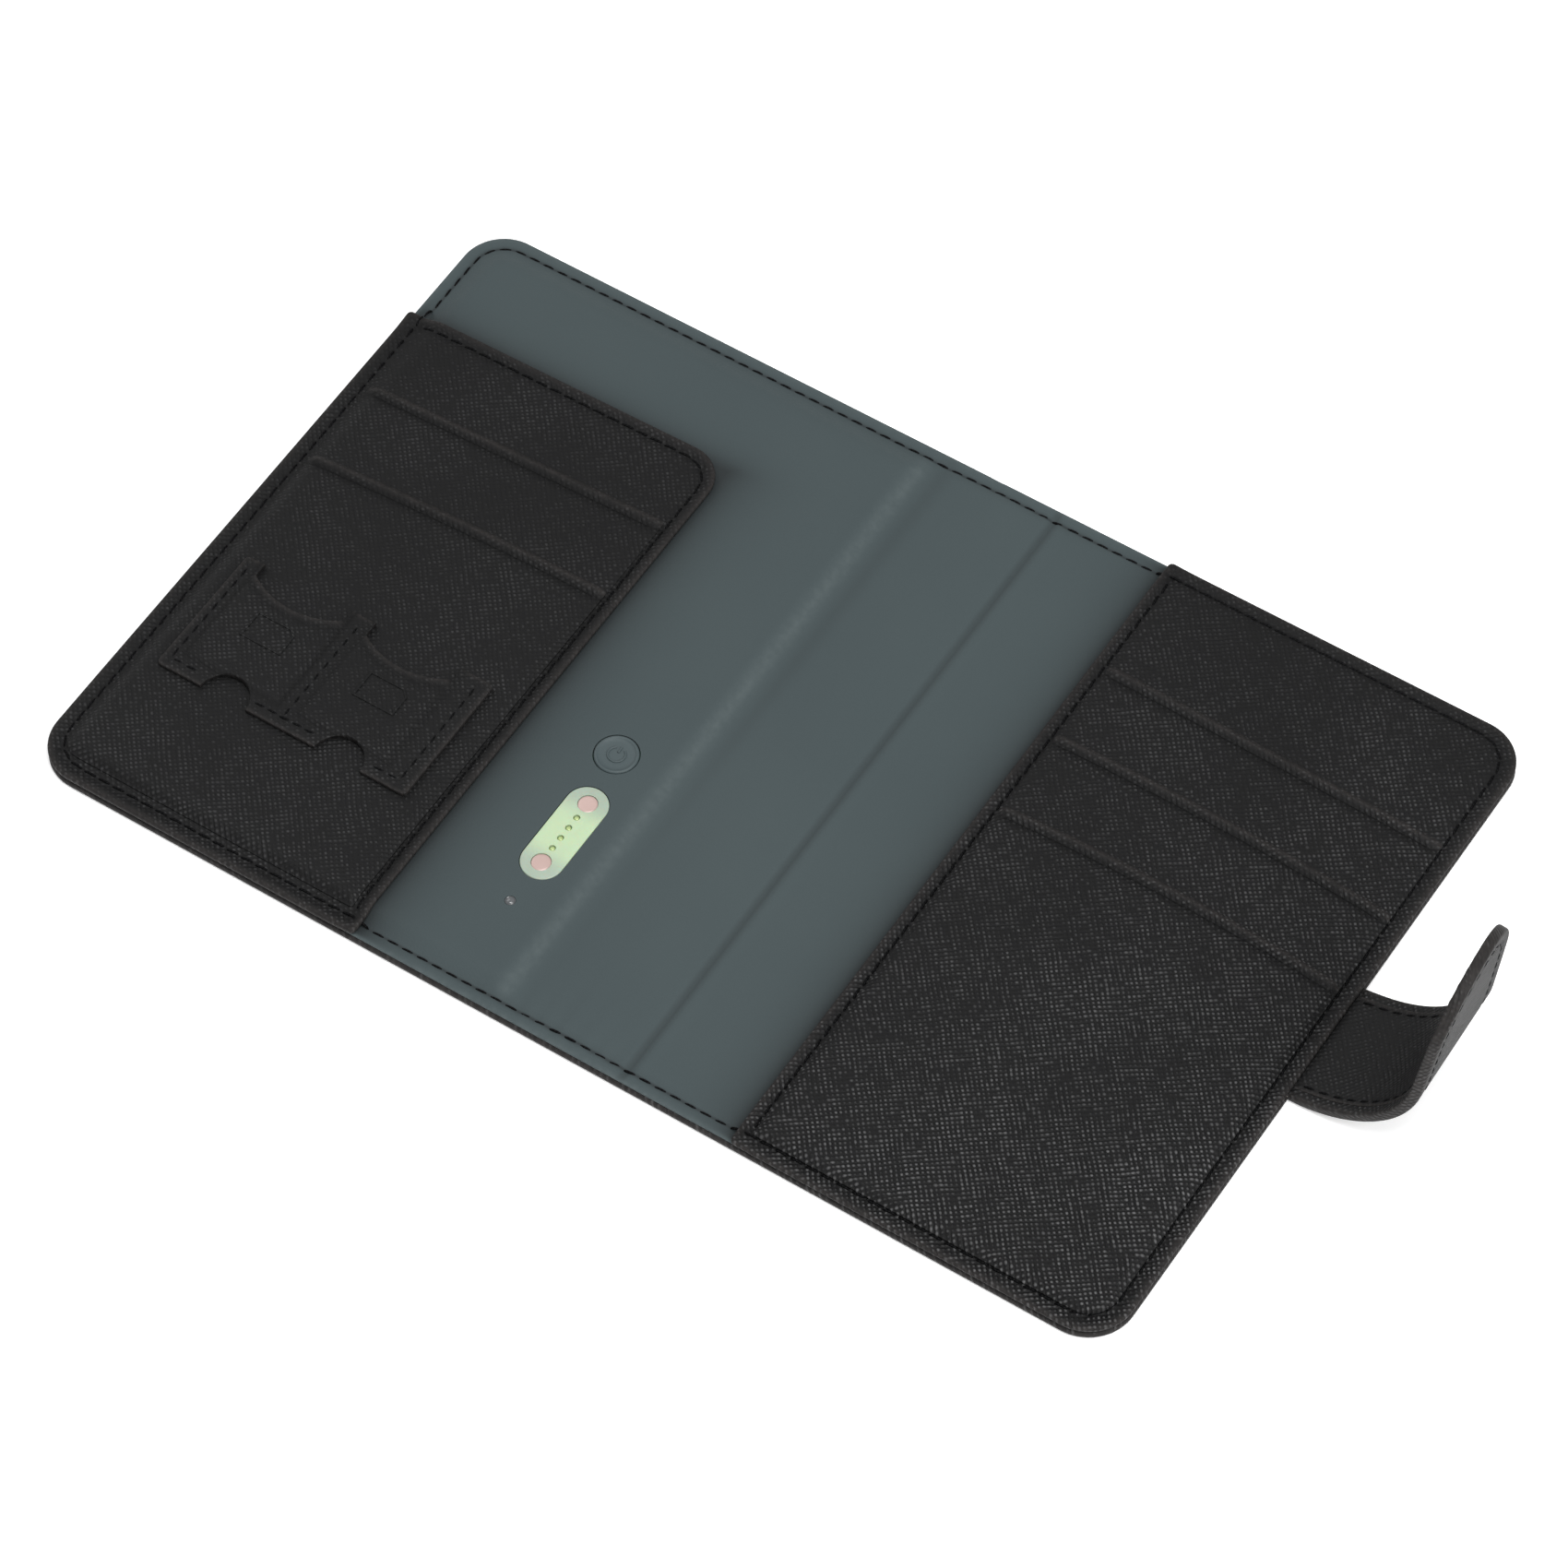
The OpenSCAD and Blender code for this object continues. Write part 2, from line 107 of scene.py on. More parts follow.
# %% Camera
camera = bpy.data.objects.new("camera", bpy.data.cameras.new("camera"))
scene.collection.objects.link(camera)
right = Vector((0.838234, 0.545104, -0.015003))
up = Vector((-0.441806, 0.695000, 0.567258))
back = Vector((0.319642, -0.468867, 0.823403))
camera.matrix_world = Matrix.Translation((0.38668, -0.56622, 0.98753)) @ Matrix(
    (right, up, back)).transposed().to_4x4()
camera.data.lens = 155.7
camera.data.sensor_width = 36
camera.data.clip_start, camera.data.clip_end = 0.05, 20
scene.camera = camera
print("camera looks along", [round(-c, 3) for c in back])

# %% Soft lamps and an even sky
def soft_lamp(name, place, size, watts):
    lamp = bpy.data.lights.new(name, "AREA")
    lamp.shape, lamp.size, lamp.size_y = "RECTANGLE", size, size
    lamp.energy = watts
    holder = bpy.data.objects.new(name, lamp)
    holder.location = place
    holder.rotation_euler = (-Vector(place)).to_track_quat("-Z", "Y").to_euler()
    scene.collection.objects.link(holder)


soft_lamp("window_left", (-1.1, 0.3, 0.9), 1.2, 6)
soft_lamp("window_top", (0.22, -0.22, 1.15), 0.55, 8)
soft_lamp("window_right", (0.9, -0.2, 0.75), 0.8, 9)
sky = bpy.data.worlds.new("even_sky")
scene.world = sky
sky.use_nodes = True
sky.node_tree.nodes["Background"].inputs["Color"].default_value = (1, 1, 1, 1)
sky.node_tree.nodes["Background"].inputs["Strength"].default_value = 0.42
scene.view_settings.view_transform = "Standard"

# %% [markdown]
# Every finish is made of nodes. Placing and linking nodes takes many lines, so one small helper adds
# a node to a tree, sets its options, and fills its inputs: a socket is linked, a number is set.

# %% A helper that places one node
def put(tree, kind, inputs=None, **options):
    made = tree.nodes.new("ShaderNode" + kind)
    for key, value in options.items():
        setattr(made, key, value)
    for key, value in (inputs or {}).items():
        if isinstance(value, bpy.types.NodeSocket):
            tree.links.new(value, made.inputs[key])
        else:
            made.inputs[key].default_value = value
    return made


def sums(tree, operation, a, b=0.0, c=0.0):
    """One arithmetic step on three values; sockets are linked and numbers are set."""
    return put(tree, "Math", {0: a, 1: b, 2: c}, operation=operation).outputs[0]


def remap(tree, value, low, high, start=0.0, end=1.0):
    """Stretches a value that runs from start to end so that it runs from low to high."""
    return put(tree, "MapRange", {"Value": value, "From Min": start, "From Max": end,
                                  "To Min": low, "To Max": high}).outputs[0]


def new_group(name, ins, outs):
    """An empty shader group with named sockets; ins are (name, kind, first value)."""
    tree = bpy.data.node_groups.new(name, "ShaderNodeTree")
    for label, kind, first in ins:
        socket = tree.interface.new_socket(name=label, in_out="INPUT", socket_type="NodeSocket" + kind)
        if kind == "Float":
            socket.default_value = first
    for label, kind in outs:
        tree.interface.new_socket(name=label, in_out="OUTPUT", socket_type="NodeSocket" + kind)
    return tree, tree.nodes.new("NodeGroupInput"), tree.nodes.new("NodeGroupOutput")


print("node helpers ready")

# %% [markdown]
# The black leather has a cross grain: a hot plate presses two sets of fine grooves into it, almost
# at right angles, and leaves rows of tiny hard pillows. Each set is a sine wave across the hide,
# bent a little by slow noise so no row is ruler straight. Where both waves are high a pillow
# stands. Where the plate pressed one set weakly, rows run on as streaks. Each pillow gets its own
# height, and slow patches press the grain flatter here and there.

# %% Node group: cross grain
def build_cross_grain():
    tree, given, result = new_group(
        "cross_grain",
        [("Vector", "Vector", None), ("Pitch", "Float", 0.00088), ("Waviness", "Float", 0.0009),
         ("Flat Patches", "Float", 0.4)],
        [("Height", "Float"), ("Tops", "Float")])
    slow = put(tree, "TexNoise", {"Vector": given.outputs["Vector"], "Scale": 95.0, "Detail": 2.0})
    bend = put(tree, "VectorMath", {0: slow.outputs["Color"], 1: (0.5, 0.5, 0.5)},
               operation="SUBTRACT")
    bend = put(tree, "VectorMath", {0: bend.outputs[0], "Scale": given.outputs["Waviness"]},
               operation="SCALE")
    place = put(tree, "VectorMath", {0: given.outputs["Vector"], 1: bend.outputs[0]},
                operation="ADD")
    broad = put(tree, "TexNoise", {"Vector": given.outputs["Vector"], "Scale": 38.0, "Detail": 1.0})
    faint = put(tree, "TexNoise", {"Vector": given.outputs["Vector"], "Scale": 300.0, "Detail": 1.0})
    faint = put(tree, "SeparateXYZ", {0: faint.outputs["Color"]})
    rows, cells = [], []
    for i, degrees in enumerate((40, 127)):
        across = (math.cos(math.radians(degrees)), math.sin(math.radians(degrees)), 0)
        along = put(tree, "VectorMath", {0: place.outputs[0], 1: across}, operation="DOT_PRODUCT")
        count = sums(tree, "DIVIDE", along.outputs["Value"], given.outputs["Pitch"])
        wave = sums(tree, "SINE", sums(tree, "MULTIPLY", count, 2 * math.pi))
        firm = remap(tree, faint.outputs[i], 0.18, 0.5, 0.38, 0.6)
        rows.append(sums(tree, "MULTIPLY_ADD", wave, firm, 0.5))
        cells.append(sums(tree, "FLOOR", sums(tree, "ADD", count, 0.25)))
    pillow = sums(tree, "POWER", sums(tree, "MULTIPLY", rows[0], rows[1]), 0.55)
    cell = put(tree, "CombineXYZ", {0: cells[0], 1: cells[1]})
    chance = put(tree, "TexWhiteNoise", {"Vector": cell.outputs[0]}, noise_dimensions="3D")
    uneven = sums(tree, "MULTIPLY_ADD", chance.outputs["Value"], 0.42, 0.58)
    patch = remap(tree, broad.outputs[0], 0, 1, 0.36, 0.62)
    press = sums(tree, "MULTIPLY", given.outputs["Flat Patches"],
                 sums(tree, "SUBTRACT", 1.0, patch))
    full = sums(tree, "MULTIPLY", pillow, uneven)
    height = sums(tree, "MULTIPLY", full, sums(tree, "SUBTRACT", 1.0, press))
    tree.links.new(height, result.inputs["Height"])
    tree.links.new(remap(tree, height, 0, 1, 0.38, 0.85), result.inputs["Tops"])
    return tree


CROSS_GRAIN = build_cross_grain()
print("cross_grain:", len(CROSS_GRAIN.nodes), "nodes")

# %% [markdown]
# Soft lining, plastic and card have no rows, only a fine pebble and a slow mottle of colour.
# Both come from noise at two sizes, and many finishes share them, so they are one group.

# %% Node group: fine grain
def build_fine_grain():
    tree, given, result = new_group(
        "fine_grain", [("Vector", "Vector", None), ("Pebbles", "Float", 2400.0),
                       ("Clouds", "Float", 45.0)],
        [("Height", "Float"), ("Mottle", "Float")])
    near = put(tree, "TexNoise", {"Vector": given.outputs["Vector"],
                                  "Scale": given.outputs["Pebbles"], "Detail": 2.0})
    pores = put(tree, "TexVoronoi", {"Vector": given.outputs["Vector"],
                                     "Scale": given.outputs["Pebbles"]})
    pebble = sums(tree, "MULTIPLY_ADD", pores.outputs["Distance"], -0.5, near.outputs[0])
    far = put(tree, "TexNoise", {"Vector": given.outputs["Vector"],
                                 "Scale": given.outputs["Clouds"], "Detail": 3.0})
    tree.links.new(pebble, result.inputs["Height"])
    tree.links.new(far.outputs[0], result.inputs["Mottle"])
    return tree


FINE_GRAIN = build_fine_grain()
print("fine_grain:", len(FINE_GRAIN.nodes), "nodes")

# %% [markdown]
# Leather that is turned over an edge is stretched and handled, so it is smoother, a shade browner
# and a bit shinier. Each sheet carries a value for that worn rim, which is 1 on its folded rim and 0
# inside. On the lining the same value is also high along the module's shoulder, where it paints a
# lighter stripe: a painted highlight. The wear group breaks these bands up with noise, so the rim
# looks used and not evenly coloured.
# Two more values ride on the sheets. One is painted shade: it darkens seam channels, stitch holes,
# creased grooves and the lining beside and under other layers, where shade falls. The other says how
# sharply the grain is pressed there, and also how much lighter the pillow tops are painted: a painted
# highlight.

# %% Node group: edge wear and painted highlight
def build_wear_and_highlight():
    tree, given, result = new_group(
        "edge_wear", [("Vector", "Vector", None), ("Edge", "Float", 0.0), ("Amount", "Float", 1.0)],
        [("Mask", "Float")])
    rub = put(tree, "TexNoise", {"Vector": given.outputs["Vector"], "Scale": 700.0, "Detail": 3.0})
    broken = remap(tree, rub.outputs[0], 0.35, 1.0, 0.3, 0.7)
    mask = sums(tree, "MULTIPLY", given.outputs["Edge"], broken)
    mask = put(tree, "Math", {0: mask, 1: given.outputs["Amount"]}, operation="MULTIPLY",
               use_clamp=True)
    tree.links.new(mask.outputs[0], result.inputs["Mask"])
    return tree


WEAR_AND_HIGHLIGHT = build_wear_and_highlight()
print("edge_wear:", len(WEAR_AND_HIGHLIGHT.nodes), "nodes")

# %% [markdown]
# Sewing thread is three plies twisted together. Slanting ridges along each stitch show that twist.
# The stitch's own map runs along the thread in one direction and round it in the other, so a sine
# of both together makes a screw thread.

# %% Node group: thread twist
def build_thread_twist():
    tree, given, result = new_group(
        "thread_twist", [("Vector", "Vector", None), ("Turn Length", "Float", 0.0007)],
        [("Height", "Float")])
    parts = put(tree, "SeparateXYZ", {0: given.outputs["Vector"]})
    turns = sums(tree, "DIVIDE", parts.outputs[0], given.outputs["Turn Length"])
    screw = sums(tree, "ADD", parts.outputs[1], turns)
    wave = sums(tree, "SINE", sums(tree, "MULTIPLY", screw, 2 * math.pi))
    ridge = sums(tree, "MULTIPLY_ADD", wave, 0.5, 0.5)
    tree.links.new(ridge, result.inputs["Height"])
    return tree


THREAD_TWIST = build_thread_twist()
print("thread_twist:", len(THREAD_TWIST.nodes), "nodes")

# %% [markdown]
# A finish is a material with its shader in it and the shared groups placed round the shader. The
# coordinates come either from the piece's own map, named flat, which keeps the grain fixed to the
# hide while the piece bends, or from Object coordinates on the stiff pieces.

# %% Start a finish
def start_finish(name, flat_map, **shader):
    finish = bpy.data.materials.new(name)
    finish.use_nodes = True
    tree = finish.node_tree
    surface = tree.nodes["Principled BSDF"]
    for key, value in shader.items():
        surface.inputs[key.replace("_", " ")].default_value = value
    if flat_map:
        place = put(tree, "UVMap", uv_map="flat").outputs[0]
    else:
        place = put(tree, "TexCoord").outputs["Object"]
    return finish, tree, surface, place


def use_group(tree, group, **inputs):
    made = tree.nodes.new("ShaderNodeGroup")
    made.node_tree = group
    for key, value in inputs.items():
        key = key.replace("_", " ")
        if isinstance(value, bpy.types.NodeSocket):
            tree.links.new(value, made.inputs[key])
        else:
            made.inputs[key].default_value = value
    return made


def blend_colours(tree, how_much, first, second):
    made = put(tree, "Mix", {0: how_much, 6: first, 7: second}, data_type="RGBA")
    return made.outputs[2]


def mottled(tree, pores, low=0.0, high=1.0):
    """The slow clouds of the fine grain, stretched so that they reach from low to high."""
    return remap(tree, pores.outputs["Mottle"], low, high, 0.3, 0.7)


def mask_of(tree, name):
    return put(tree, "Attribute", attribute_name=name).outputs["Fac"]


def end_finish(tree, surface, tone, gloss, height, depth):
    """Links a finish's colour, roughness and raised texture, whose depth is in metres."""
    bump = put(tree, "Bump", {"Height": height, "Strength": 1.0, "Distance": depth})
    for value, name in ((tone, "Base Color"), (gloss, "Roughness"), (bump.outputs[0], "Normal")):
        tree.links.new(value, surface.inputs[name])


print("finish helpers ready")

# %% [markdown]
# Black cross-grained leather covers the wallet, its pockets and its strap. The tops of the pillows
# are polished by handling, so they are a touch lighter and smoother than the grooves. Where the grain
# is crisper, towards the back cover's tail corner and on the strap's outer leaf, the tops are painted
# much lighter: a painted highlight. The outer hide and the strap have the wider grain, the pockets a
# slightly finer and brighter one.

# %% Finish: black leather
BROWN = (0.0340, 0.0300, 0.0285, 1)
DEEP = (0.0056, 0.0056, 0.0058)


def black_leather(name, pitch, high, bright, flat_patches, level):
    finish, tree, surface, place = start_finish(name, True, Specular_IOR_Level=level)
    crisp = mask_of(tree, "crisp")
    flat = sums(tree, "MULTIPLY_ADD", crisp, -0.8 * flat_patches, flat_patches)
    grain = use_group(tree, CROSS_GRAIN, Vector=place, Pitch=pitch, Flat_Patches=flat)
    pores = use_group(tree, FINE_GRAIN, Vector=place, Pebbles=2600.0, Clouds=30.0)
    rim = mask_of(tree, "turned")
    wear_and_painted_highlight = use_group(tree, WEAR_AND_HIGHLIGHT, Vector=place, Edge=rim, Amount=0.65)
    # painted highlight: where the grain is crisp the pillow tops blend towards a much lighter colour
    tops = blend_colours(tree, crisp, (*high, 1), (*bright, 1))
    tone = blend_colours(tree, grain.outputs["Tops"], (*DEEP, 1), tops)
    tone = blend_colours(tree, mottled(tree, pores, 0.0, 0.35), tone, (*[c * 0.6 for c in DEEP], 1))
    tone = blend_colours(tree, wear_and_painted_highlight.outputs["Mask"], tone, BROWN)
    # painted shade: this mask darkens the leather almost to black in seam channels, stitch holes, creased
    # grooves and at the feet of the patch's swellings
    tone = blend_colours(tree, mask_of(tree, "tucked"), tone, (0.0012, 0.0012, 0.0013, 1))
    gloss = sums(tree, "MULTIPLY_ADD", wear_and_painted_highlight.outputs["Mask"], 0.06,
                 remap(tree, grain.outputs["Tops"], 0.62, 0.46))
    keep = sums(tree, "MULTIPLY_ADD", rim, -0.15, 1.0)
    keep = sums(tree, "MULTIPLY", keep, sums(tree, "MULTIPLY_ADD", crisp, 0.6, 0.4))
    rows = sums(tree, "MULTIPLY", grain.outputs["Height"], keep)
    height = sums(tree, "MULTIPLY_ADD", pores.outputs["Height"], 0.10, rows)
    end_finish(tree, surface, tone, gloss, height, 0.00034)
    return finish


OUTER_LEATHER = black_leather("outer_leather", 0.00090, (0.022, 0.022, 0.0228),
                              (0.120, 0.120, 0.122), 0.25, 0.22)
POCKET_LEATHER = black_leather("pocket_leather", 0.00088, (0.023, 0.023, 0.0238),
                               (0.135, 0.135, 0.137), 0.28, 0.18)
print("leathers:", OUTER_LEATHER.name, POCKET_LEATHER.name)

# %% [markdown]
# The lining is a soft slate-coloured sheet with a matt, almost rubbery touch. It has no rows, only
# fine pebbles. Its colour drifts a little, and its rims are rubbed lighter where fingers pass. A
# lighter stripe painted along the module's shoulder is a painted highlight, and painted shade
# darkens it beside the pocket panels, in the back crease and along its seam.

# %% Finish: slate lining
def slate_lining():
    finish, tree, surface, place = start_finish(
        "slate_lining", True, Specular_IOR_Level=0.28, Sheen_Weight=0.05, Sheen_Roughness=0.5)
    pores = use_group(tree, FINE_GRAIN, Vector=place, Pebbles=2900.0, Clouds=22.0)
    wear_and_painted_highlight = use_group(tree, WEAR_AND_HIGHLIGHT, Vector=place, Edge=mask_of(tree, "turned"), Amount=0.6)
    tone = blend_colours(tree, mottled(tree, pores), (0.0415, 0.0573, 0.0610, 1),
                         (0.0465, 0.0631, 0.0664, 1))
    # the rims are rubbed lighter by wear; the lighter stripe on the module's shoulder is a painted highlight
    tone = blend_colours(tree, wear_and_painted_highlight.outputs["Mask"], tone, (0.078, 0.098, 0.101, 1))
    # painted shade: the lining is darkened beside the panels, in the back crease, at the shoulder's foot and
    # in the seam's channel
    tone = blend_colours(tree, mask_of(tree, "tucked"), tone, (0.010, 0.0125, 0.0135, 1))
    end_finish(tree, surface, tone, remap(tree, pores.outputs["Mottle"], 0.66, 0.78),
               pores.outputs["Height"], 0.000035)
    return finish


LINING = slate_lining()
print("lining:", LINING.name)

# %% [markdown]
# The thread is bonded polyester, black with a slight shine.

# %% Finish: black thread
def black_thread():
    finish, tree, surface, place = start_finish("black_thread", True, Specular_IOR_Level=0.06)
    twist = use_group(tree, THREAD_TWIST, Vector=place).outputs["Height"]
    tone = blend_colours(tree, twist, (0.0012, 0.0012, 0.0014, 1), (0.0045, 0.0045, 0.0050, 1))
    end_finish(tree, surface, tone, remap(tree, twist, 0.6, 0.42), twist, 0.00005)
    return finish


THREAD = black_thread()
print("thread:", THREAD.name)

# %% [markdown]
# The stiff parts get one recipe with different numbers: a base colour that drifts between two
# tones, a fine texture, and a roughness that follows it. It serves moulded plastic, card, the
# battery's foil, the circuit board and the metals.

# %% Finish: stiff parts
def stiff_finish(name, one, two, metal, rough, pebbles, depth, **shader):
    finish, tree, surface, place = start_finish(name, False, Metallic=metal, **shader)
    pores = use_group(tree, FINE_GRAIN, Vector=place, Pebbles=pebbles, Clouds=160.0)
    tone = blend_colours(tree, mottled(tree, pores), (*one, 1), (*two, 1))
    end_finish(tree, surface, tone, remap(tree, pores.outputs["Mottle"], *rough),
               pores.outputs["Height"], depth)
    return finish


RESIN = stiff_finish("moulded_resin", (0.03, 0.03, 0.034), (0.045, 0.045, 0.05), 0.0,
                     (0.45, 0.6), 1500.0, 0.00003)
CARD = stiff_finish("grey_card", (0.24, 0.22, 0.2), (0.32, 0.3, 0.27), 0.0, (0.8, 0.95), 900.0, 0.00004)
FOIL = stiff_finish("battery_foil", (0.55, 0.55, 0.58), (0.68, 0.68, 0.7), 1.0, (0.28, 0.45), 500.0,
                    0.00004)
BOARD = stiff_finish("circuit_green", (0.01, 0.07, 0.03), (0.02, 0.11, 0.05), 0.0, (0.3, 0.45),
                     800.0, 0.00003, Coat_Weight=0.4)
STEEL = stiff_finish("plain_steel", (0.5, 0.5, 0.52), (0.64, 0.64, 0.66), 1.0, (0.25, 0.42), 1200.0,
                     0.00001)
MAGNET = stiff_finish("rosy_magnet", (0.46, 0.33, 0.30), (0.52, 0.38, 0.345), 0.15, (0.3, 0.42),
                      1400.0, 0.00001)
CONTACT = stiff_finish("green_contact", (0.38, 0.48, 0.20), (0.44, 0.54, 0.25), 0.2, (0.3, 0.4),
                       1400.0, 0.00001)
BUTTON = stiff_finish("slate_rubber", (0.0510, 0.0700, 0.0745), (0.0560, 0.0755, 0.0800), 0.0,
                      (0.5, 0.62), 2600.0, 0.00002, Specular_IOR_Level=0.35)
LENS = stiff_finish("smoky_lens", (0.06, 0.065, 0.07), (0.09, 0.095, 0.1), 0.0, (0.08, 0.14), 900.0,
                    0.000003, Coat_Weight=0.6)
print("stiff finishes:", [m.name for m in bpy.data.materials])

# %% [markdown]
# Now the sheets. A sheet starts as a grid. Its lines are not evenly spaced: they are close together
# near the edges, where leather rolls over and stitches pull it down, and along the folds, where it
# must bend; elsewhere they can be wide apart. So the lines are ruled first.

# %% Rule the lines of a grid
def rule(a, b, step, first=0.9, near=(True, True), fine=()):
    marks = [a, b]
    beads = [first + 0.45 * i for i in range(6)]
    if near[0]:
        marks += [a + d for d in beads]
    if near[1]:
        marks += [b - d for d in beads]
    for p, q, s in fine:
        marks += [m for m in np.arange(p, q, s) if a + 4.2 < m < b - 0.3]
    marks = sorted(marks)
    kept = [marks[0]]
    for m in marks[1:]:
        if m - kept[-1] > 0.28:
            kept.append(m)
    kept[-1] = b
    lines = [a]
    for p, q in zip(kept, kept[1:]):
        parts = max(1, math.ceil((q - p) / step - 0.01))
        lines += [p + (q - p) * (i + 1) / parts for i in range(parts)]
    return np.array(lines)


print("a ruled 20 mm strip:", len(rule(0, 20, 1.2)), "lines")

# %% [markdown]
# The grid's corners are rounded by drawing each corner square into a quarter disc: rings of equal
# distance from the corner's two edges become circles, so the cells stay even right up to the rim.

# %% Round the corners of a grid
def round_corners(co, box, radii):
    x0, x1, y0, y1 = box
    for sx, sy, r in ((-1, -1, radii[0]), (1, -1, radii[1]), (1, 1, radii[2]), (-1, 1, radii[3])):
        if r <= 0:
            continue
        cx = x0 + r if sx < 0 else x1 - r
        cy = y0 + r if sy < 0 else y1 - r
        a, b = sx * (co[:, 0] - cx) / r, sy * (co[:, 1] - cy) / r
        inside = (a > 0) & (b > 0)
        a, b = np.maximum(a, 1e-9), np.maximum(b, 1e-9)
        ring = np.maximum(a, b)
        turn = np.where(a >= b, math.pi / 4 * b / a, math.pi / 2 - math.pi / 4 * a / b)
        co[:, 0] = np.where(inside, cx + sx * r * ring * np.cos(turn), co[:, 0])
        co[:, 1] = np.where(inside, cy + sy * r * ring * np.sin(turn), co[:, 1])
    return co


def depth_in(x, y, box, radii):
    """How far inside a rounded outline each point lies, in millimetres."""
    x0, x1, y0, y1 = box
    mx, my = (x0 + x1) / 2, (y0 + y1) / 2
    r = np.where(x < mx, np.where(y < my, radii[0], radii[3]), np.where(y < my, radii[1], radii[2]))
    dx = np.abs(x - mx) - ((x1 - x0) / 2 - r)
    dy = np.abs(y - my) - ((y1 - y0) / 2 - r)
    return r - np.hypot(np.maximum(dx, 0), np.maximum(dy, 0)) - np.minimum(np.maximum(dx, dy), 0)


def rim_depth(x, y):
    """How far inside the whole wallet's rim each point lies."""
    return depth_in(x, y, WHOLE, (CORNER,) * 4)


def ramp(v, a, b):
    t = np.clip((v - a) / (b - a), 0, 1)
    return t * t * (3 - 2 * t)


def hump(v, middle, width):
    return np.exp(-(((v - middle) / width) ** 2))


print("10 mm in from the fore edge:", float(depth_in(-FORE + 10, 0.0, WHOLE, (9,) * 4)))

# %% [markdown]
# From the grid to a sheet: the faces are extruded to give the leather its thickness, and the rim's
# edges are bevelled round, as turned leather is. Two things are written on the flat sheet before it
# is shaped: the flat map for its grain, and the value that marks its turned rim.

# %% Make a flat sheet
def coords(bm):
    return np.array([v.co[:] for v in bm.verts])


def set_coords(bm, co):
    for v, p in zip(bm.verts, co):
        v.co = p


def every(bm):
    return bm.verts[:] + bm.edges[:] + bm.faces[:]


def raise_faces(bm, rise):
    """Extrudes all the faces straight up, which closes them into a solid."""
    grown = bmesh.ops.extrude_face_region(bm, geom=bm.faces[:])
    top = [g for g in grown["geom"] if isinstance(g, bmesh.types.BMVert)]
    bmesh.ops.translate(bm, verts=top, vec=(0, 0, rise))
    bmesh.ops.recalc_face_normals(bm, faces=bm.faces)


def round_edges(bm, edges, offset, segments=3):
    bmesh.ops.bevel(bm, geom=edges, offset=offset, offset_type="OFFSET", segments=segments,
                    profile=0.5, affect="EDGES", material=-1, clamp_overlap=True)


def flat_sheet(box, radii, thick, step, roll, open_side=None, fine=(), first=0.9):
    x0, x1, y0, y1 = box
    xs = rule(x0, x1, step, first, (open_side != "left", open_side != "right"), fine)
    ys = rule(y0, y1, step, first)
    bm = bmesh.new()
    bmesh.ops.create_grid(bm, x_segments=len(xs) - 1, y_segments=len(ys) - 1, size=0.5)
    co = coords(bm)
    co[:, 0] = xs[np.rint((co[:, 0] + 0.5) * (len(xs) - 1)).astype(int)]
    co[:, 1] = ys[np.rint((co[:, 1] + 0.5) * (len(ys) - 1)).astype(int)]
    set_coords(bm, round_corners(co, box, radii))
    raise_faces(bm, thick)
    rim = []
    cut_x = {"left": x0, "right": x1}.get(open_side)
    for e in bm.edges:
        up_a, up_b = (abs(f.normal.z) > 0.5 for f in e.link_faces)
        on_cut = cut_x is not None and all(abs(v.co.x - cut_x) < 1e-5 for v in e.verts)
        if up_a != up_b and not on_cut:
            rim.append(e)
    round_edges(bm, rim, roll)
    return bm


def grain_crispness_and_painted_highlight(x, y):
    """The grain is pressed sharper, and its pillow tops are painted lighter as a painted highlight, towards
    the back cover's tail corner.
    """
    return 0.07 + 0.93 * np.clip((x - 1.1 * y + 120) / 270, 0, 1) ** 2.6


def mark_sheet(bm, **masks):
    """Writes the flat map and the worn-rim, painted-shade and grain-crispness values, in millimetres on the
    flat sheet. The worn-rim value also carries a painted highlight on the lining's shoulder, and the
    crispness value a painted highlight on the pillow tops.
    """
    flat = bm.loops.layers.uv.new("flat")
    for f in bm.faces:
        for loop in f.loops:
            x, y, z = loop.vert.co
            loop[flat].uv = ((x + 0.8 * z) / 1000, (y - 0.8 * z) / 1000)
    co = coords(bm)
    for label, rule_of in (("turned", None), ("tucked", None), ("crisp", grain_crispness_and_painted_highlight)):
        layer = bm.verts.layers.float.new(label)
        rule_of = masks.get(label, rule_of)
        if rule_of is not None:
            for v, t in zip(bm.verts, rule_of(co[:, 0], co[:, 1])):
                v[layer] = min(max(float(t), 0.0), 1.0)


print("sheet helpers ready")

# %% Finish a piece: metres, smooth shading, name, material and slot
SHARP = 38


def finish_piece(bm, name, material, sharp=SHARP):
    bmesh.ops.scale(bm, vec=(0.001,) * 3, verts=bm.verts)
    bmesh.ops.recalc_face_normals(bm, faces=bm.faces)
    mesh = bpy.data.meshes.new(name)
    bm.to_mesh(mesh)
    bm.free()
    mesh.shade_smooth()
    mesh.set_sharp_from_angle(angle=math.radians(sharp))
    mesh.materials.append(material)
    piece = bpy.data.objects.new(name, mesh)
    scene.collection.objects.link(piece)
    print(f"{name}: {len(mesh.polygons)} faces")
    return piece


# %% [markdown]
# Stitch holes come before the leather is shaped, because each hole pulls the leather down. A seam
# is a line of points; walking along it in equal steps of about 3 mm gives the holes, and the
# stitches later span from hole to hole. The main seam runs nearly 3 mm in from the whole rim, and
# the pockets' hems a little nearer to their own edges.

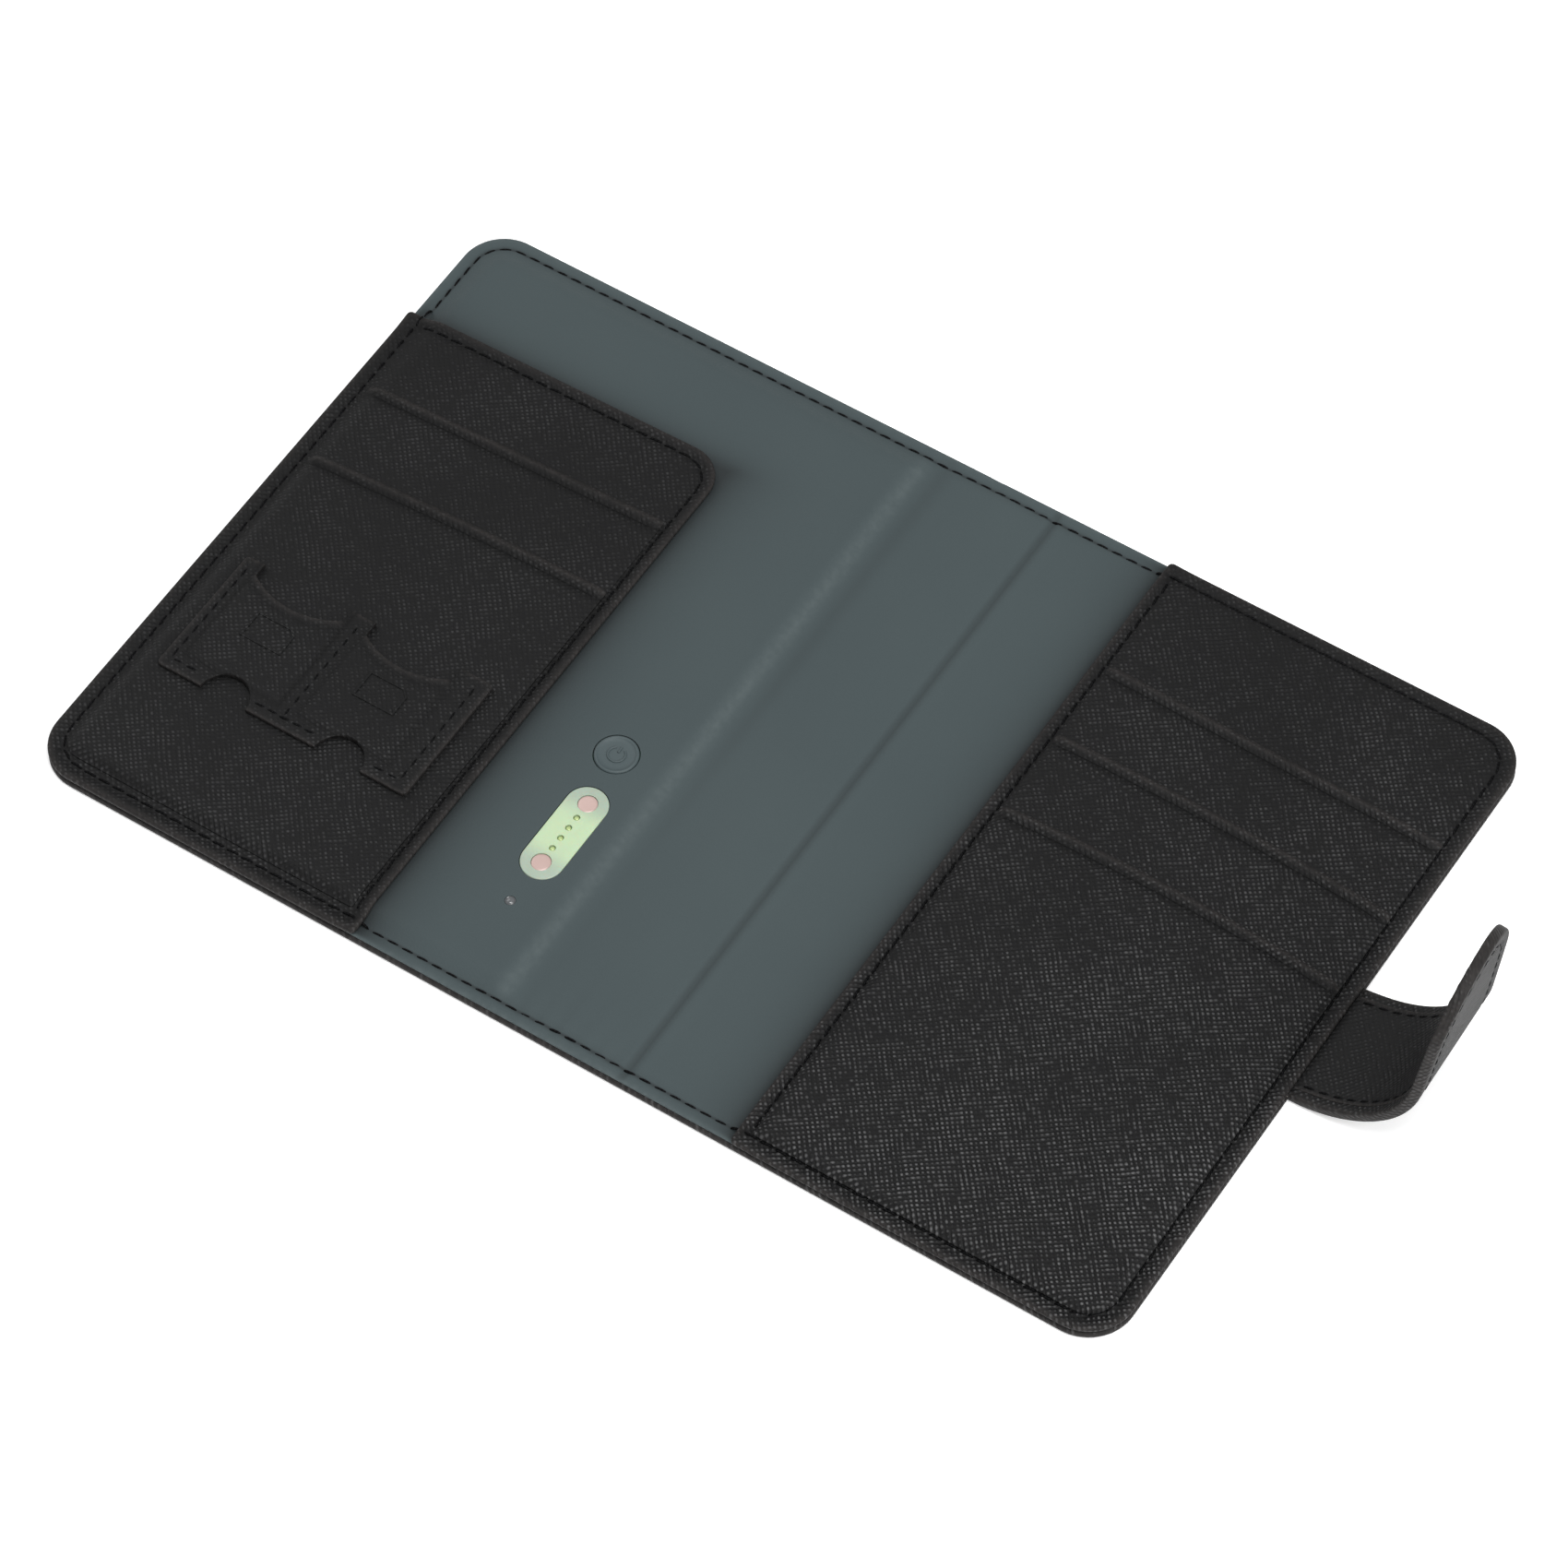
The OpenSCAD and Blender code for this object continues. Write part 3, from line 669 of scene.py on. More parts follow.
# %% Lay out the seams
def rounded_line(box, radii):
    """Points along a rounded outline, from the tail side's right corner round to it again."""
    x0, x1, y0, y1 = box
    line = []
    for cx, cy, r, start in ((x1 - radii[1], y0 + radii[1], radii[1], -90),
                             (x1 - radii[2], y1 - radii[2], radii[2], 0),
                             (x0 + radii[3], y1 - radii[3], radii[3], 90),
                             (x0 + radii[0], y0 + radii[0], radii[0], 180)):
        for i in range(13):
            a = math.radians(start + 7.5 * i)
            line.append((cx + r * math.cos(a), cy + r * math.sin(a)))
    return [*line, line[0]]


def holes_along(line, pitch=3.1):
    line = np.array(line)
    legs = np.hypot(*np.diff(line, axis=0).T)
    length = np.concatenate([[0], np.cumsum(legs)])
    count = max(1, round(length[-1] / pitch))
    at = np.linspace(0, length[-1], count + 1)
    return np.stack([np.interp(at, length, line[:, i]) for i in (0, 1)], axis=1)


SEAM_IN, HEM_IN, HEM_END = 2.9, 2.2, 4.2
RIM_SEAM = holes_along(rounded_line((-FORE + SEAM_IN, FORE - SEAM_IN, -HALF + SEAM_IN,
                                     HALF - SEAM_IN), (CORNER - SEAM_IN,) * 4))
hx, hy, hr = FRONT_PANEL[1] - 2.3, FRONT_PANEL[3] - HEM_IN, FRONT_PANEL_R[2] - HEM_IN
arc = [(hx - hr + hr * math.cos(a), hy - hr + hr * math.sin(a))
       for a in np.linspace(0, math.pi / 2, 10)]
FRONT_HEM = holes_along([(hx, -HALF + HEM_END), *arc, (-FORE + HEM_END, hy)])
BACK_HEM = holes_along([(BACK_PANEL[0] + HEM_IN, -HALF + HEM_END),
                        (BACK_PANEL[0] + HEM_IN, HALF - HEM_END)])
print("holes:", len(RIM_SEAM), len(FRONT_HEM), len(BACK_HEM))

# %% How holes pull the leather down
def hole_finder(*seams):
    holes = np.concatenate(seams)
    tree = kdtree.KDTree(len(holes))
    for i, (x, y) in enumerate(holes):
        tree.insert((x, y, 0), i)
    tree.balance()
    return tree


def pulled(x, y, tree, amount, width=0.75):
    away = np.array([tree.find((a, b, 0))[2] for a, b in zip(x, y)])
    return amount * np.exp(-((away / width) ** 2))


RIM_HOLES = hole_finder(RIM_SEAM)
FRONT_HOLES = hole_finder(RIM_SEAM, FRONT_HEM)
BACK_HOLES = hole_finder(RIM_SEAM, BACK_HEM)
print("the rim seam's stitch is", round(float(np.hypot(*(RIM_SEAM[1] - RIM_SEAM[0]))), 2), "mm")

# %% [markdown]
# A sheet follows what lies under it, so each surface is a height over the table: the lining over
# the module, the panel over the lining, each slot over the panel. The lining stands up over the
# module, falls in a soft shoulder at the front fold, and is creased at the back fold. It fans into
# small wrinkles where the spine meets the tail edge, and lies in very slow waves everywhere.

# %% Height of the lining
def slow_waves(x, y):
    return (np.sin(x / 17 + y / 31 + 0.6) + np.sin(y / 14 - x / 37 + 2.1) +
            np.sin((x + y) / 23 + 4.0)) / 3


CREASE, LINING_T = 14.0, 0.5


def lining_top(x, y):
    d = rim_depth(x, y)
    z = LINING_Z + (RAISED_Z - LINING_Z) * ramp(d, 3.2, 7.4) * ramp(-x, 10.8, 15.6)
    free = ramp(d, 0.6, 4.0)
    z = z + 0.05 * slow_waves(x, y) * ramp(d, 4, 12)
    z = z - 0.16 * free * hump(x, -9.3, 1.3) + 0.16 * free * hump(x, -13.9, 1.5)
    z = z + 0.30 * free * hump(x, 3, 7.5)
    z = z - 0.50 * free * hump(x, CREASE, 0.75) + 0.16 * free * hump(x, CREASE + 1.7, 1.0)
    tail, head = (y + HALF) / 9, (HALF - y) / 7
    z = z + 0.17 * np.exp(-tail) * hump(x, 0.5, 12) * np.sin(x * 1.75 / (1 + 0.25 * tail) + 0.7) * free
    z = z - 0.14 * np.exp(-(head ** 2)) * hump(x, 0.6, 0.9)
    return z


print("lining at the middle of the front cover:", round(float(lining_top(-60.0, 0.0)), 2), "mm")

# %% Heights of the pocket panels
def front_panel_top(x, y):
    sewn = rim_depth(x, y)
    rim = depth_in(x, y, FRONT_PANEL, FRONT_PANEL_R)
    loose = np.minimum(FRONT_PANEL[1] - x, FRONT_PANEL[3] - y)
    z = lining_top(x, y) + 0.78 + 0.40 * (1 - ramp(sewn, 3.0, 7.0))
    z = z + 0.42 * np.exp(-((loose / 3.0) ** 2)) + 0.10 * hump(rim, 0.9, 0.6)
    return z - 0.20 * hump(rim, 2.3, 0.55) + 0.05 * slow_waves(x * 1.3 + 9, y * 1.2)


def back_panel_top(x, y):
    rim = depth_in(x, y, BACK_PANEL, BACK_PANEL_R)
    sewn = rim_depth(x, y)
    z = PB[5] + 0.10 * hump(rim, 0.9, 0.6) - 0.20 * hump(rim, 2.3, 0.55)
    z = z - 0.35 * (1 - ramp(sewn, 0.0, 5.0)) + 0.25 * np.exp(-(((x - BACK_PANEL[0]) / 3.0) ** 2))
    return z + 0.12 * ramp(rim, 2.5, 14) + 0.07 * slow_waves(x * 1.2, y * 1.1) * ramp(rim, 3, 10)


print("front panel stands", round(float(front_panel_top(-80.0, 20.0)), 2), "mm high")

# %% [markdown]
# The outer hide is one sheet from fore edge to fore edge, turned in all round. A sheet that crosses
# both folds has to follow three bodies, so it is made as two halves that meet at the middle of the
# spine, where both follow the spine and stay together. Each half blends over one fold: the points
# before the fold follow one body, those after it the other, and those between turn evenly.

# %% Fold a half over its hinge
FOLD = 4.0


def fold_half(piece, side):
    at = [(side * (HINGE + s * FOLD) / 1000, 0, 0.0004) for s in (1, -1)]
    if side < 0:
        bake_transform(piece, "front_cover", "spine", start=at[0], end=at[1])
    else:
        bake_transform(piece, "spine", "back_cover", start=at[1], end=at[0])


def half_box(side, inset):
    if side < 0:
        return (-FORE + inset, 0.0, -HALF + inset, HALF - inset), (CORNER - inset, 0, 0, CORNER - inset)
    return (0.0, FORE - inset, -HALF + inset, HALF - inset), (0, CORNER - inset, CORNER - inset, 0)


FINE = {-1: [(-19, -8, 0.7)], 1: [(8, 19, 0.7)]}
LINING_IN = 0.45
print(f"each fold is {2 * FOLD:.0f} mm wide")

# %% Outer leather, two halves
HIDE_T = TURN_Z / 2


def outer_half(side, name):
    box, radii = half_box(side, 0)
    bm = flat_sheet(box, radii, TURN_Z, 1.25, 0.72, "right" if side < 0 else "left", FINE[side])
    mark_sheet(bm, turned=lambda x, y: hump(rim_depth(x, y), 0, 0.7))
    co = coords(bm)
    x, y, z = co.T
    d = rim_depth(x, y)
    under = 0.22 * hump(d, SEAM_IN, 0.6) + 0.10 * hump(np.abs(x), HINGE, 1.2) * ramp(d, 0.5, 3)
    upper = TURN_Z - HIDE_T * ramp(d, 7.4, 8.6)
    co[:, 2] = z / TURN_Z * upper + (under + pulled(x, y, RIM_HOLES, 0.12)) * (1 - z / TURN_Z)
    set_coords(bm, co)
    return finish_piece(bm, name, OUTER_LEATHER)


front_hide = outer_half(-1, "cover_leather_front")
back_hide = outer_half(1, "cover_leather_back")
fold_half(front_hide, -1)
fold_half(back_hide, 1)
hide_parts("front_leather", "spine_leather")
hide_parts("back_leather")

# %% [markdown]
# The lining is cut a little smaller than the hide and sewn down round the rim. The front half has
# three openings over the module: a rounded slot for the charge port, a round one for the button and
# a tiny one for the status light. Cutting tools as thick as the module are punched through it.

# %% Punch tools
def rounded_plate(box, radii, low, high, segments=12):
    """A plate whose four corners are bevelled to their own radii, then extruded."""
    x0, x1, y0, y1 = box
    bm = bmesh.new()
    verts = [bm.verts.new((x, y, low)) for x, y in ((x0, y0), (x1, y0), (x1, y1), (x0, y1))]
    bm.faces.new(verts)
    for v, r in zip(verts, radii):
        if r > 0:
            bmesh.ops.bevel(bm, geom=[v], offset=r, offset_type="OFFSET", segments=segments,
                            profile=0.5, affect="VERTICES", material=-1, clamp_overlap=False)
    bmesh.ops.remove_doubles(bm, verts=bm.verts, dist=1e-4)
    raise_faces(bm, high - low)
    return bm


def round_rod(x, y, r, low, high, segments=48):
    bm = bmesh.new()
    bmesh.ops.create_cone(bm, cap_ends=True, segments=segments, radius1=r, radius2=r,
                          depth=high - low)
    bmesh.ops.translate(bm, verts=bm.verts, vec=(x, y, (low + high) / 2))
    return bm


def punch_out(piece, tools):
    """Cuts the tools, given in millimetres, out of a piece that is already in metres."""
    for bm in tools:
        bmesh.ops.scale(bm, vec=(0.001,) * 3, verts=bm.verts)
        mesh = bpy.data.meshes.new("punch")
        bm.to_mesh(mesh)
        bm.free()
        punch = bpy.data.objects.new("punch", mesh)
        scene.collection.objects.link(punch)
        cut = piece.modifiers.new("cut", "BOOLEAN")
        cut.operation, cut.object, cut.solver = "DIFFERENCE", punch, "EXACT"
        done = bpy.data.meshes.new_from_object(
            piece.evaluated_get(bpy.context.evaluated_depsgraph_get()))
        piece.modifiers.clear()
        piece.data, done.name = done, piece.name
        bpy.data.objects.remove(punch)
    print(piece.name, "after cutting:", len(piece.data.polygons), "faces")


PORT = span("charge_port")
BUTTON_AT = span("power_button")
port_mid, button_mid = middle(PORT), middle(BUTTON_AT)
window_mid = middle(span("status_window"))
PORT_R, BUTTON_R = (PORT[1] - PORT[0]) / 2, (BUTTON_AT[1] - BUTTON_AT[0]) / 2
PORT_GAP, BUTTON_GAP = 0.12, 0.18
print("port, button, window at", port_mid, button_mid, window_mid)

# %% Lining, two halves
def lining_painted_shade(x, y):
    """Painted shade beside the panels' free edges, in the back crease, at the foot of the module's shoulder
    and in the seam's channel.
    """
    left, head = x - FRONT_PANEL[1], y - FRONT_PANEL[3]
    beside = np.where(head > 0, np.hypot(np.maximum(left, 0), 2 * head), left)
    shade = 0.85 * np.exp(-np.maximum(beside, 0) / 5.0)
    shade = np.maximum(shade, 0.85 * np.exp(-np.maximum(BACK_PANEL[0] - x, 0) / 4.2))
    shade = np.maximum(shade, 0.42 * hump(x, CREASE, 0.7))
    shade = np.maximum(shade, 0.14 * hump(x, -8.6, 1.8) * ramp(y, -45, 20))
    d = rim_depth(x, y)
    return np.maximum(shade, 0.80 * hump(d, SEAM_IN, 0.35)) * ramp(d, 0.4, 1.4)


def lining_wear_and_painted_highlight(x, y):
    """The lining is rubbed lighter along its rim; the lighter stripe on the module's shoulder is a painted
    highlight.
    """
    d = rim_depth(x, y)
    return np.maximum(hump(d, 0.4, 0.9), hump(x, -12.8, 1.3) * ramp(d, 2, 7))


def lining_half(side, name):
    box, radii = half_box(side, LINING_IN)
    bm = flat_sheet(box, radii, LINING_T, 1.2, 0.2, "right" if side < 0 else "left", FINE[side], 0.7)
    mark_sheet(bm, turned=lining_wear_and_painted_highlight, tucked=lining_painted_shade)
    co = coords(bm)
    x, y, z = co.T
    d = rim_depth(x, y)
    sewn = 0.12 * hump(d, SEAM_IN, 0.6) + pulled(x, y, RIM_HOLES, 0.16)
    co[:, 2] = lining_top(x, y) - sewn * (z / LINING_T) - LINING_T + z
    set_coords(bm, co)
    return finish_piece(bm, name, LINING)


front_lining = lining_half(-1, "lining_front")
back_lining = lining_half(1, "lining_back")
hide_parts("front_lining", "spine_lining")
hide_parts("back_lining")
punch_out(front_lining, [
    rounded_plate((PORT[0] - PORT_GAP, PORT[1] + PORT_GAP, PORT[2] - PORT_GAP, PORT[3] + PORT_GAP),
                  (PORT_R + PORT_GAP - 0.001,) * 4, 0, 8, 16),
    round_rod(*button_mid, BUTTON_R + BUTTON_GAP, 0, 8, 64),
    round_rod(*window_mid, 1.02, 0, 8, 32)])
front_lining.data.set_sharp_from_angle(angle=math.radians(SHARP))
fold_half(front_lining, -1)
fold_half(back_lining, 1)

# %% [markdown]
# The pocket panels are leather turned in at every edge. The front one is a passport pocket: sewn
# along the fore and tail edges, hemmed and open along the other two, and draped over the raised
# lining. The back one is a slip pocket sewn on three sides.

# %% Pocket panels
def sag(x, y):
    """The front panel's head edge was sewn a little out of square."""
    across = np.clip((x + FORE) / (FRONT_PANEL[1] + FORE), 0, 1)
    return (1.3 * across - 0.7) * np.clip((y + HALF) / (FRONT_PANEL[3] + HALF), 0, 1) ** 3


def panel(name, box, radii, top, bottom, holes, shift=None):
    bm = flat_sheet(box, radii, 1.0, 1.0, 0.36, first=0.6)
    # painted shade along the hem's stitch channel and at the stitch holes
    mark_sheet(bm, turned=lambda x, y: 0.9 * hump(depth_in(x, y, box, radii), 0, 0.85),
               tucked=lambda x, y: 0.10 * hump(depth_in(x, y, box, radii), 2.3, 0.6) +
               0.75 * pulled(x, y, holes, 1.0, 0.6))
    co = coords(bm)
    x, y, z = co.T
    low, high = bottom(x, y), top(x, y) - pulled(x, y, holes, 0.34)
    co[:, 2] = low + z * (high - low)
    if shift is not None:
        co[:, 1] += shift(x, y)
    set_coords(bm, co)
    return finish_piece(bm, name, POCKET_LEATHER)


def front_panel_bottom(x, y):
    loose = np.minimum(FRONT_PANEL[1] - x, FRONT_PANEL[3] - y)
    return lining_top(x, y) + 0.05 + 0.34 * np.exp(-((loose / 3.0) ** 2))


front_pocket = panel("front_pocket", FRONT_PANEL, FRONT_PANEL_R, front_panel_top,
                     front_panel_bottom, FRONT_HOLES, sag)
back_pocket = panel("back_pocket", BACK_PANEL, BACK_PANEL_R, back_panel_top,
                    lambda x, y: np.full(len(x), LINING_Z + 0.08), BACK_HOLES)
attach(front_pocket, "front_cover")
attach(back_pocket, "back_cover")
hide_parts("front_pocket_base")
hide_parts("back_pocket_base")

# %% [markdown]
# Each card slot is a leaf of thin leather sewn over the one before. Its mouth is a soft fold with a
# line creased just below it by a warm tool: a low bead, then a narrow groove. The other edges are
# skived thin, so they vanish into the panel. The mouths bow a little, as hand-laid leaves do.

# %% Card slots
SLOT_T = 0.4


def slot_leaf(name, node, under, bow, body):
    box = span(node)[:4]
    mouth = box[3]
    radii = (3.5, 0.6, 0.6, 0.6) if box[0] < 0 else (0.6, 6, 0.6, 0.6)

    def crept(x, y):
        rise = (x - box[0]) / (box[1] - box[0])
        return y + bow(rise) * np.clip((y - box[2]) / (mouth - box[2]), 0, 1) ** 2

    def swell(x, y):
        """Height that the leaf adds; y is on the flat leaf."""
        side = np.minimum.reduce([x - box[0], box[1] - x, y - box[2]])
        fold = mouth - y
        lift = 0.15 + 0.25 * ramp(side, 0.0, 1.6)
        return lift + ramp(side, 0.2, 1.6) * (0.42 * hump(fold, 0.9, 0.65) -
                                              0.26 * hump(fold, 2.2, 0.42))

    def leaf_top(x, y):
        return under(x, y) + np.where((x > box[0]) & (x < box[1]) & (y > box[2]),
                                      swell(x, np.minimum(y, mouth)), 0)

    bm = flat_sheet(box, radii, SLOT_T, 1.25, 0.13, first=0.45)
    # painted shade: a dark line along the creased groove below the mouth
    mark_sheet(bm, turned=lambda x, y: 0.85 * hump(mouth - y, 0.75, 0.6),
               tucked=lambda x, y: 0.9 * hump(mouth - y, 2.25, 0.45))
    co = coords(bm)
    x, y, z = co.T
    ground = under(x, crept(x, y))
    low, high = ground + 0.05, ground + swell(x, y)
    co[:, 1] = crept(x, y)
    co[:, 2] = low + z / SLOT_T * (high - low)
    set_coords(bm, co)
    leaf = finish_piece(bm, name, POCKET_LEATHER)
    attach(leaf, body)
    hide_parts(node)
    return leaf, leaf_top


slot_f1, top_f1 = slot_leaf("front_slot_upper", "front_slot_1", front_panel_top,
                            lambda t: -1.2 + 2.6 * t, "front_cover")
slot_f2, top_f2 = slot_leaf("front_slot_lower", "front_slot_2", top_f1,
                            lambda t: -1.7 + 5.0 * t - 2.1 * t * t, "front_cover")
slot_b1, top_b1 = slot_leaf("back_slot_upper", "back_slot_1", back_panel_top,
                            lambda t: 0.8 - 1.5 * t, "back_cover")
slot_b2, top_b2 = slot_leaf("back_slot_middle", "back_slot_2", top_b1,
                            lambda t: -0.1 + 2.0 * t - 3.6 * t * t, "back_cover")
slot_b3, _ = slot_leaf("back_slot_lower", "back_slot_3", top_b2,
                       lambda t: -0.5 + 4.3 * t - 5.0 * t * t, "back_cover")

# %% [markdown]
# The small patch holds two nano cards. It is cut with hollowed mouths above and half-round notches
# below, where a finger pushes a card out. The patch starts as a rounded plate; rods and discs are
# punched from it while it has few faces; its rims are bevelled; and only then do many cuts give it
# the lines it needs to swell over its two pockets and sink along its seams.

# %% Outline of the nano card patch
PATCH = span("sim_patch")
px, py = PATCH[0], PATCH[2]
pw, ph = PATCH[1] - PATCH[0], PATCH[3] - PATCH[2]
POCKETS = ((px + 3.9, px + 23.3), (px + 28.3, px + 47.0))
POCKET_FOOT = py + 4.4
PATCH_SEAMS = (px + 1.6, px + 26.0, px + pw - 2.6)
NOTCHES, NOTCH_R = (px + 14.5, px + 39.3), 4.9
PATCH_T, PATCH_RISE, PATCH_CORNER = 0.95, 0.95, (0.9,) * 4
MOUTH_R, MOUTH_DIP = 17.2, 5.9
MOUTH_Y = py + ph - MOUTH_DIP + MOUTH_R


def from_mouth(x, y):
    """How far below the nearer pocket's hollowed mouth a point lies."""
    away = [np.hypot(x - (a + b) / 2, y - MOUTH_Y) - MOUTH_R + 99 * ((x < a) | (x > b))
            for a, b in POCKETS]
    return np.minimum(*away)


def mouth_disc(x0, x1, low, high):
    """A big disc trimmed to the pocket's width, as deep as the mouth dips."""
    bm = round_rod((x0 + x1) / 2, MOUTH_Y, MOUTH_R, low, high, 96)
    for at, way in ((x0, -1), (x1, 1)):
        cut = bmesh.ops.bisect_plane(bm, geom=every(bm), plane_co=(at, 0, 0), plane_no=(way, 0, 0),
                                     clear_outer=True)
        edges = [g for g in cut["geom_cut"] if isinstance(g, bmesh.types.BMEdge)]
        bmesh.ops.contextual_create(bm, geom=edges)
    bmesh.ops.recalc_face_normals(bm, faces=bm.faces)
    return bm


plate = rounded_plate((px, px + pw, py, py + ph), PATCH_CORNER, 0, PATCH_T, 4)
patch = finish_piece(plate, "sim_patch_leather", POCKET_LEATHER)
punch_out(patch, [mouth_disc(*pocket, -1, 2) for pocket in POCKETS] +
          [round_rod(at, py, NOTCH_R, -1, 2) for at in NOTCHES])

# %% Swell the patch over its pockets
def in_pocket(x, y):
    """How far inside the nearer pocket's sides and foot a point lies; outside it is negative."""
    return np.maximum(*[np.minimum.reduce([x - a, b - x, y - POCKET_FOOT]) for a, b in POCKETS])


def patch_swell(x, y):
    lift = ramp(in_pocket(x, y), -0.5, 0.6)
    seams = np.minimum.reduce([np.abs(x - at) for at in PATCH_SEAMS])
    mouth = from_mouth(x, y)
    lips = 0.22 * hump(mouth, 0.5, 0.5) - 0.16 * hump(mouth, 1.6, 0.45)
    return 0.42 * lift - 0.16 * hump(seams, 0, 0.6) + lips


def patch_painted_shade(x, y):
    """Painted shade along the seams, along the foot of each pocket's swelling and in the groove under each
    mouth.
    """
    dark = [0.8 * hump(in_pocket(x, y), -0.6, 0.45), 0.75 * hump(from_mouth(x, y), 1.6, 0.4)]
    return np.maximum.reduce(dark + [0.15 * hump(x, at, 0.5) for at in PATCH_SEAMS])


def patch_ground(x, y):
    """The leaf below, carried on level past its creased mouth."""
    return top_f2(x, np.minimum(y, 6.0)) + 0.01


def patch_top(x, y):
    return patch_ground(x, y) + PATCH_RISE + patch_swell(x, y)


def shape_patch():
    bm = bmesh.new()
    bm.from_mesh(patch.data)
    bmesh.ops.scale(bm, vec=(1000,) * 3, verts=bm.verts)
    bmesh.ops.remove_doubles(bm, verts=bm.verts, dist=0.01)
    bmesh.ops.recalc_face_normals(bm, faces=bm.faces)
    rim = [e for e in bm.edges if len(e.link_faces) == 2
           and (abs(e.link_faces[0].normal.z) > 0.9) != (abs(e.link_faces[1].normal.z) > 0.9)]
    round_edges(bm, rim, 0.22)
    for normal, start, length in (((1, 0, 0), px, pw), ((0, 1, 0), py, ph)):
        for at in np.arange(start + 0.8, start + length - 0.5, 0.8):
            bmesh.ops.bisect_plane(bm, geom=every(bm), dist=1e-4, plane_co=Vector(normal) * at,
                                   plane_no=normal)
    # painted shade along the patch's seams, pocket feet and the grooves under its mouths
    mark_sheet(bm, tucked=patch_painted_shade)
    co = coords(bm)
    x, y, z = co.T
    layer = bm.verts.layers.float["turned"]
    lip = np.maximum(0.8 * hump(from_mouth(x, y), 0.3, 0.5),
                     0.8 * hump(depth_in(x, y, PATCH[:4], PATCH_CORNER), 0.1, 0.5))
    for v, t in zip(bm.verts, np.maximum(np.where(z < PATCH_T - 0.05, 0.4, 0.0), lip)):
        v[layer] = float(t)
    co[:, 2] = patch_ground(x, y) + z / PATCH_T * (PATCH_RISE + patch_swell(x, y))
    set_coords(bm, co)
    return bm


shaped = shape_patch()
bpy.data.objects.remove(patch)
patch = finish_piece(shaped, "sim_patch_leather", POCKET_LEATHER)
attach(patch, "front_cover")
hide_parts("sim_patch")

# %% [markdown]
# Each nano card pocket is marked with a small pressed picture of a card with one clipped corner. It
# is a narrow frame: the card's face is inset, and the ring between is raised a hair.

# %% Card marks on the patch
MARK_W, MARK_H, MARK_CLIP, MARK_RISE, MARK_SUNK = 4.4, 3.0, 1.4, 0.26, 0.06


def card_mark(cx, cy):
    bm = bmesh.new()
    w, h, clip = MARK_W, MARK_H, MARK_CLIP
    verts = [bm.verts.new((cx + a, cy + b, 0)) for a, b in
             ((-w, -h), (w, -h), (w, h - clip), (w - clip, h), (-w, h))]
    face = bm.faces.new(verts)
    bm.normal_update()
    bmesh.ops.inset_individual(bm, faces=[face], thickness=0.42, use_even_offset=True)
    bmesh.ops.delete(bm, geom=[face], context="FACES_ONLY")
    raise_faces(bm, MARK_RISE)
    top = [e for e in bm.edges if all(v.co.z > 0.1 for v in e.verts)
           and any(abs(f.normal.z) < 0.5 for f in e.link_faces)]
    round_edges(bm, top, 0.06, 2)
    return bm


marks = bmesh.new()
for mark_x in (px + 13.6, px + 38.2):
    one = card_mark(mark_x, py + 15.6)
    spare = bpy.data.meshes.new("spare")
    one.to_mesh(spare)
    one.free()
    marks.from_mesh(spare)
    bpy.data.meshes.remove(spare)
# a low crisp value: the marks' pillow tops are painted only a little lighter, a faint painted highlight
mark_sheet(marks, crisp=lambda x, y: np.full(len(x), 0.12))
co = coords(marks)
co[:, 2] += patch_top(co[:, 0], co[:, 1]) - MARK_SUNK
set_coords(marks, co)
card_marks = finish_piece(marks, "sim_card_marks", POCKET_LEATHER)
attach(card_marks, "front_cover")

# %% [markdown]
# A stitch is a short length of thread that dives into the leather at both ends. One is made from a
# six-sided rod, cut into lengths, bent down and thinned at its ends. Copies of it are turned and
# set along every seam. There are hundreds, so each has only a few dozen faces.

# %% One stitch
def make_stitch(length, radius):
    bm = bmesh.new()
    bmesh.ops.create_cone(bm, cap_ends=True, segments=6, radius1=radius, radius2=radius,
                          depth=length)
    bmesh.ops.rotate(bm, verts=bm.verts, cent=(0, 0, 0), matrix=Matrix.Rotation(math.pi / 2, 3, "Y"))
    for share in (-0.36, -0.2, 0.0, 0.2, 0.36):
        bmesh.ops.bisect_plane(bm, geom=every(bm), plane_co=(share * length, 0, 0),
                               plane_no=(1, 0, 0))
    flat = bm.loops.layers.uv.new("flat")
    for f in bm.faces:
        for loop in f.loops:
            x, y, z = loop.vert.co
            loop[flat].uv = (x / 1000, math.atan2(z, y) / (2 * math.pi))
    for v in bm.verts:
        dive = 0.42 * (abs(v.co.x) / (length / 2)) ** 3
        v.co.y *= 1 - dive
        v.co.z = v.co.z * (1 - dive) - dive
    mesh = bpy.data.meshes.new("stitch")
    bm.to_mesh(mesh)
    bm.free()
    return mesh


STITCH = make_stitch(2.85, 0.26)
STRAP_STITCH = make_stitch(2.7, 0.25)
print("a stitch has", len(STITCH.polygons), "faces")

# %% Sew a seam
dice = random.Random(7)


SINK = 0.05


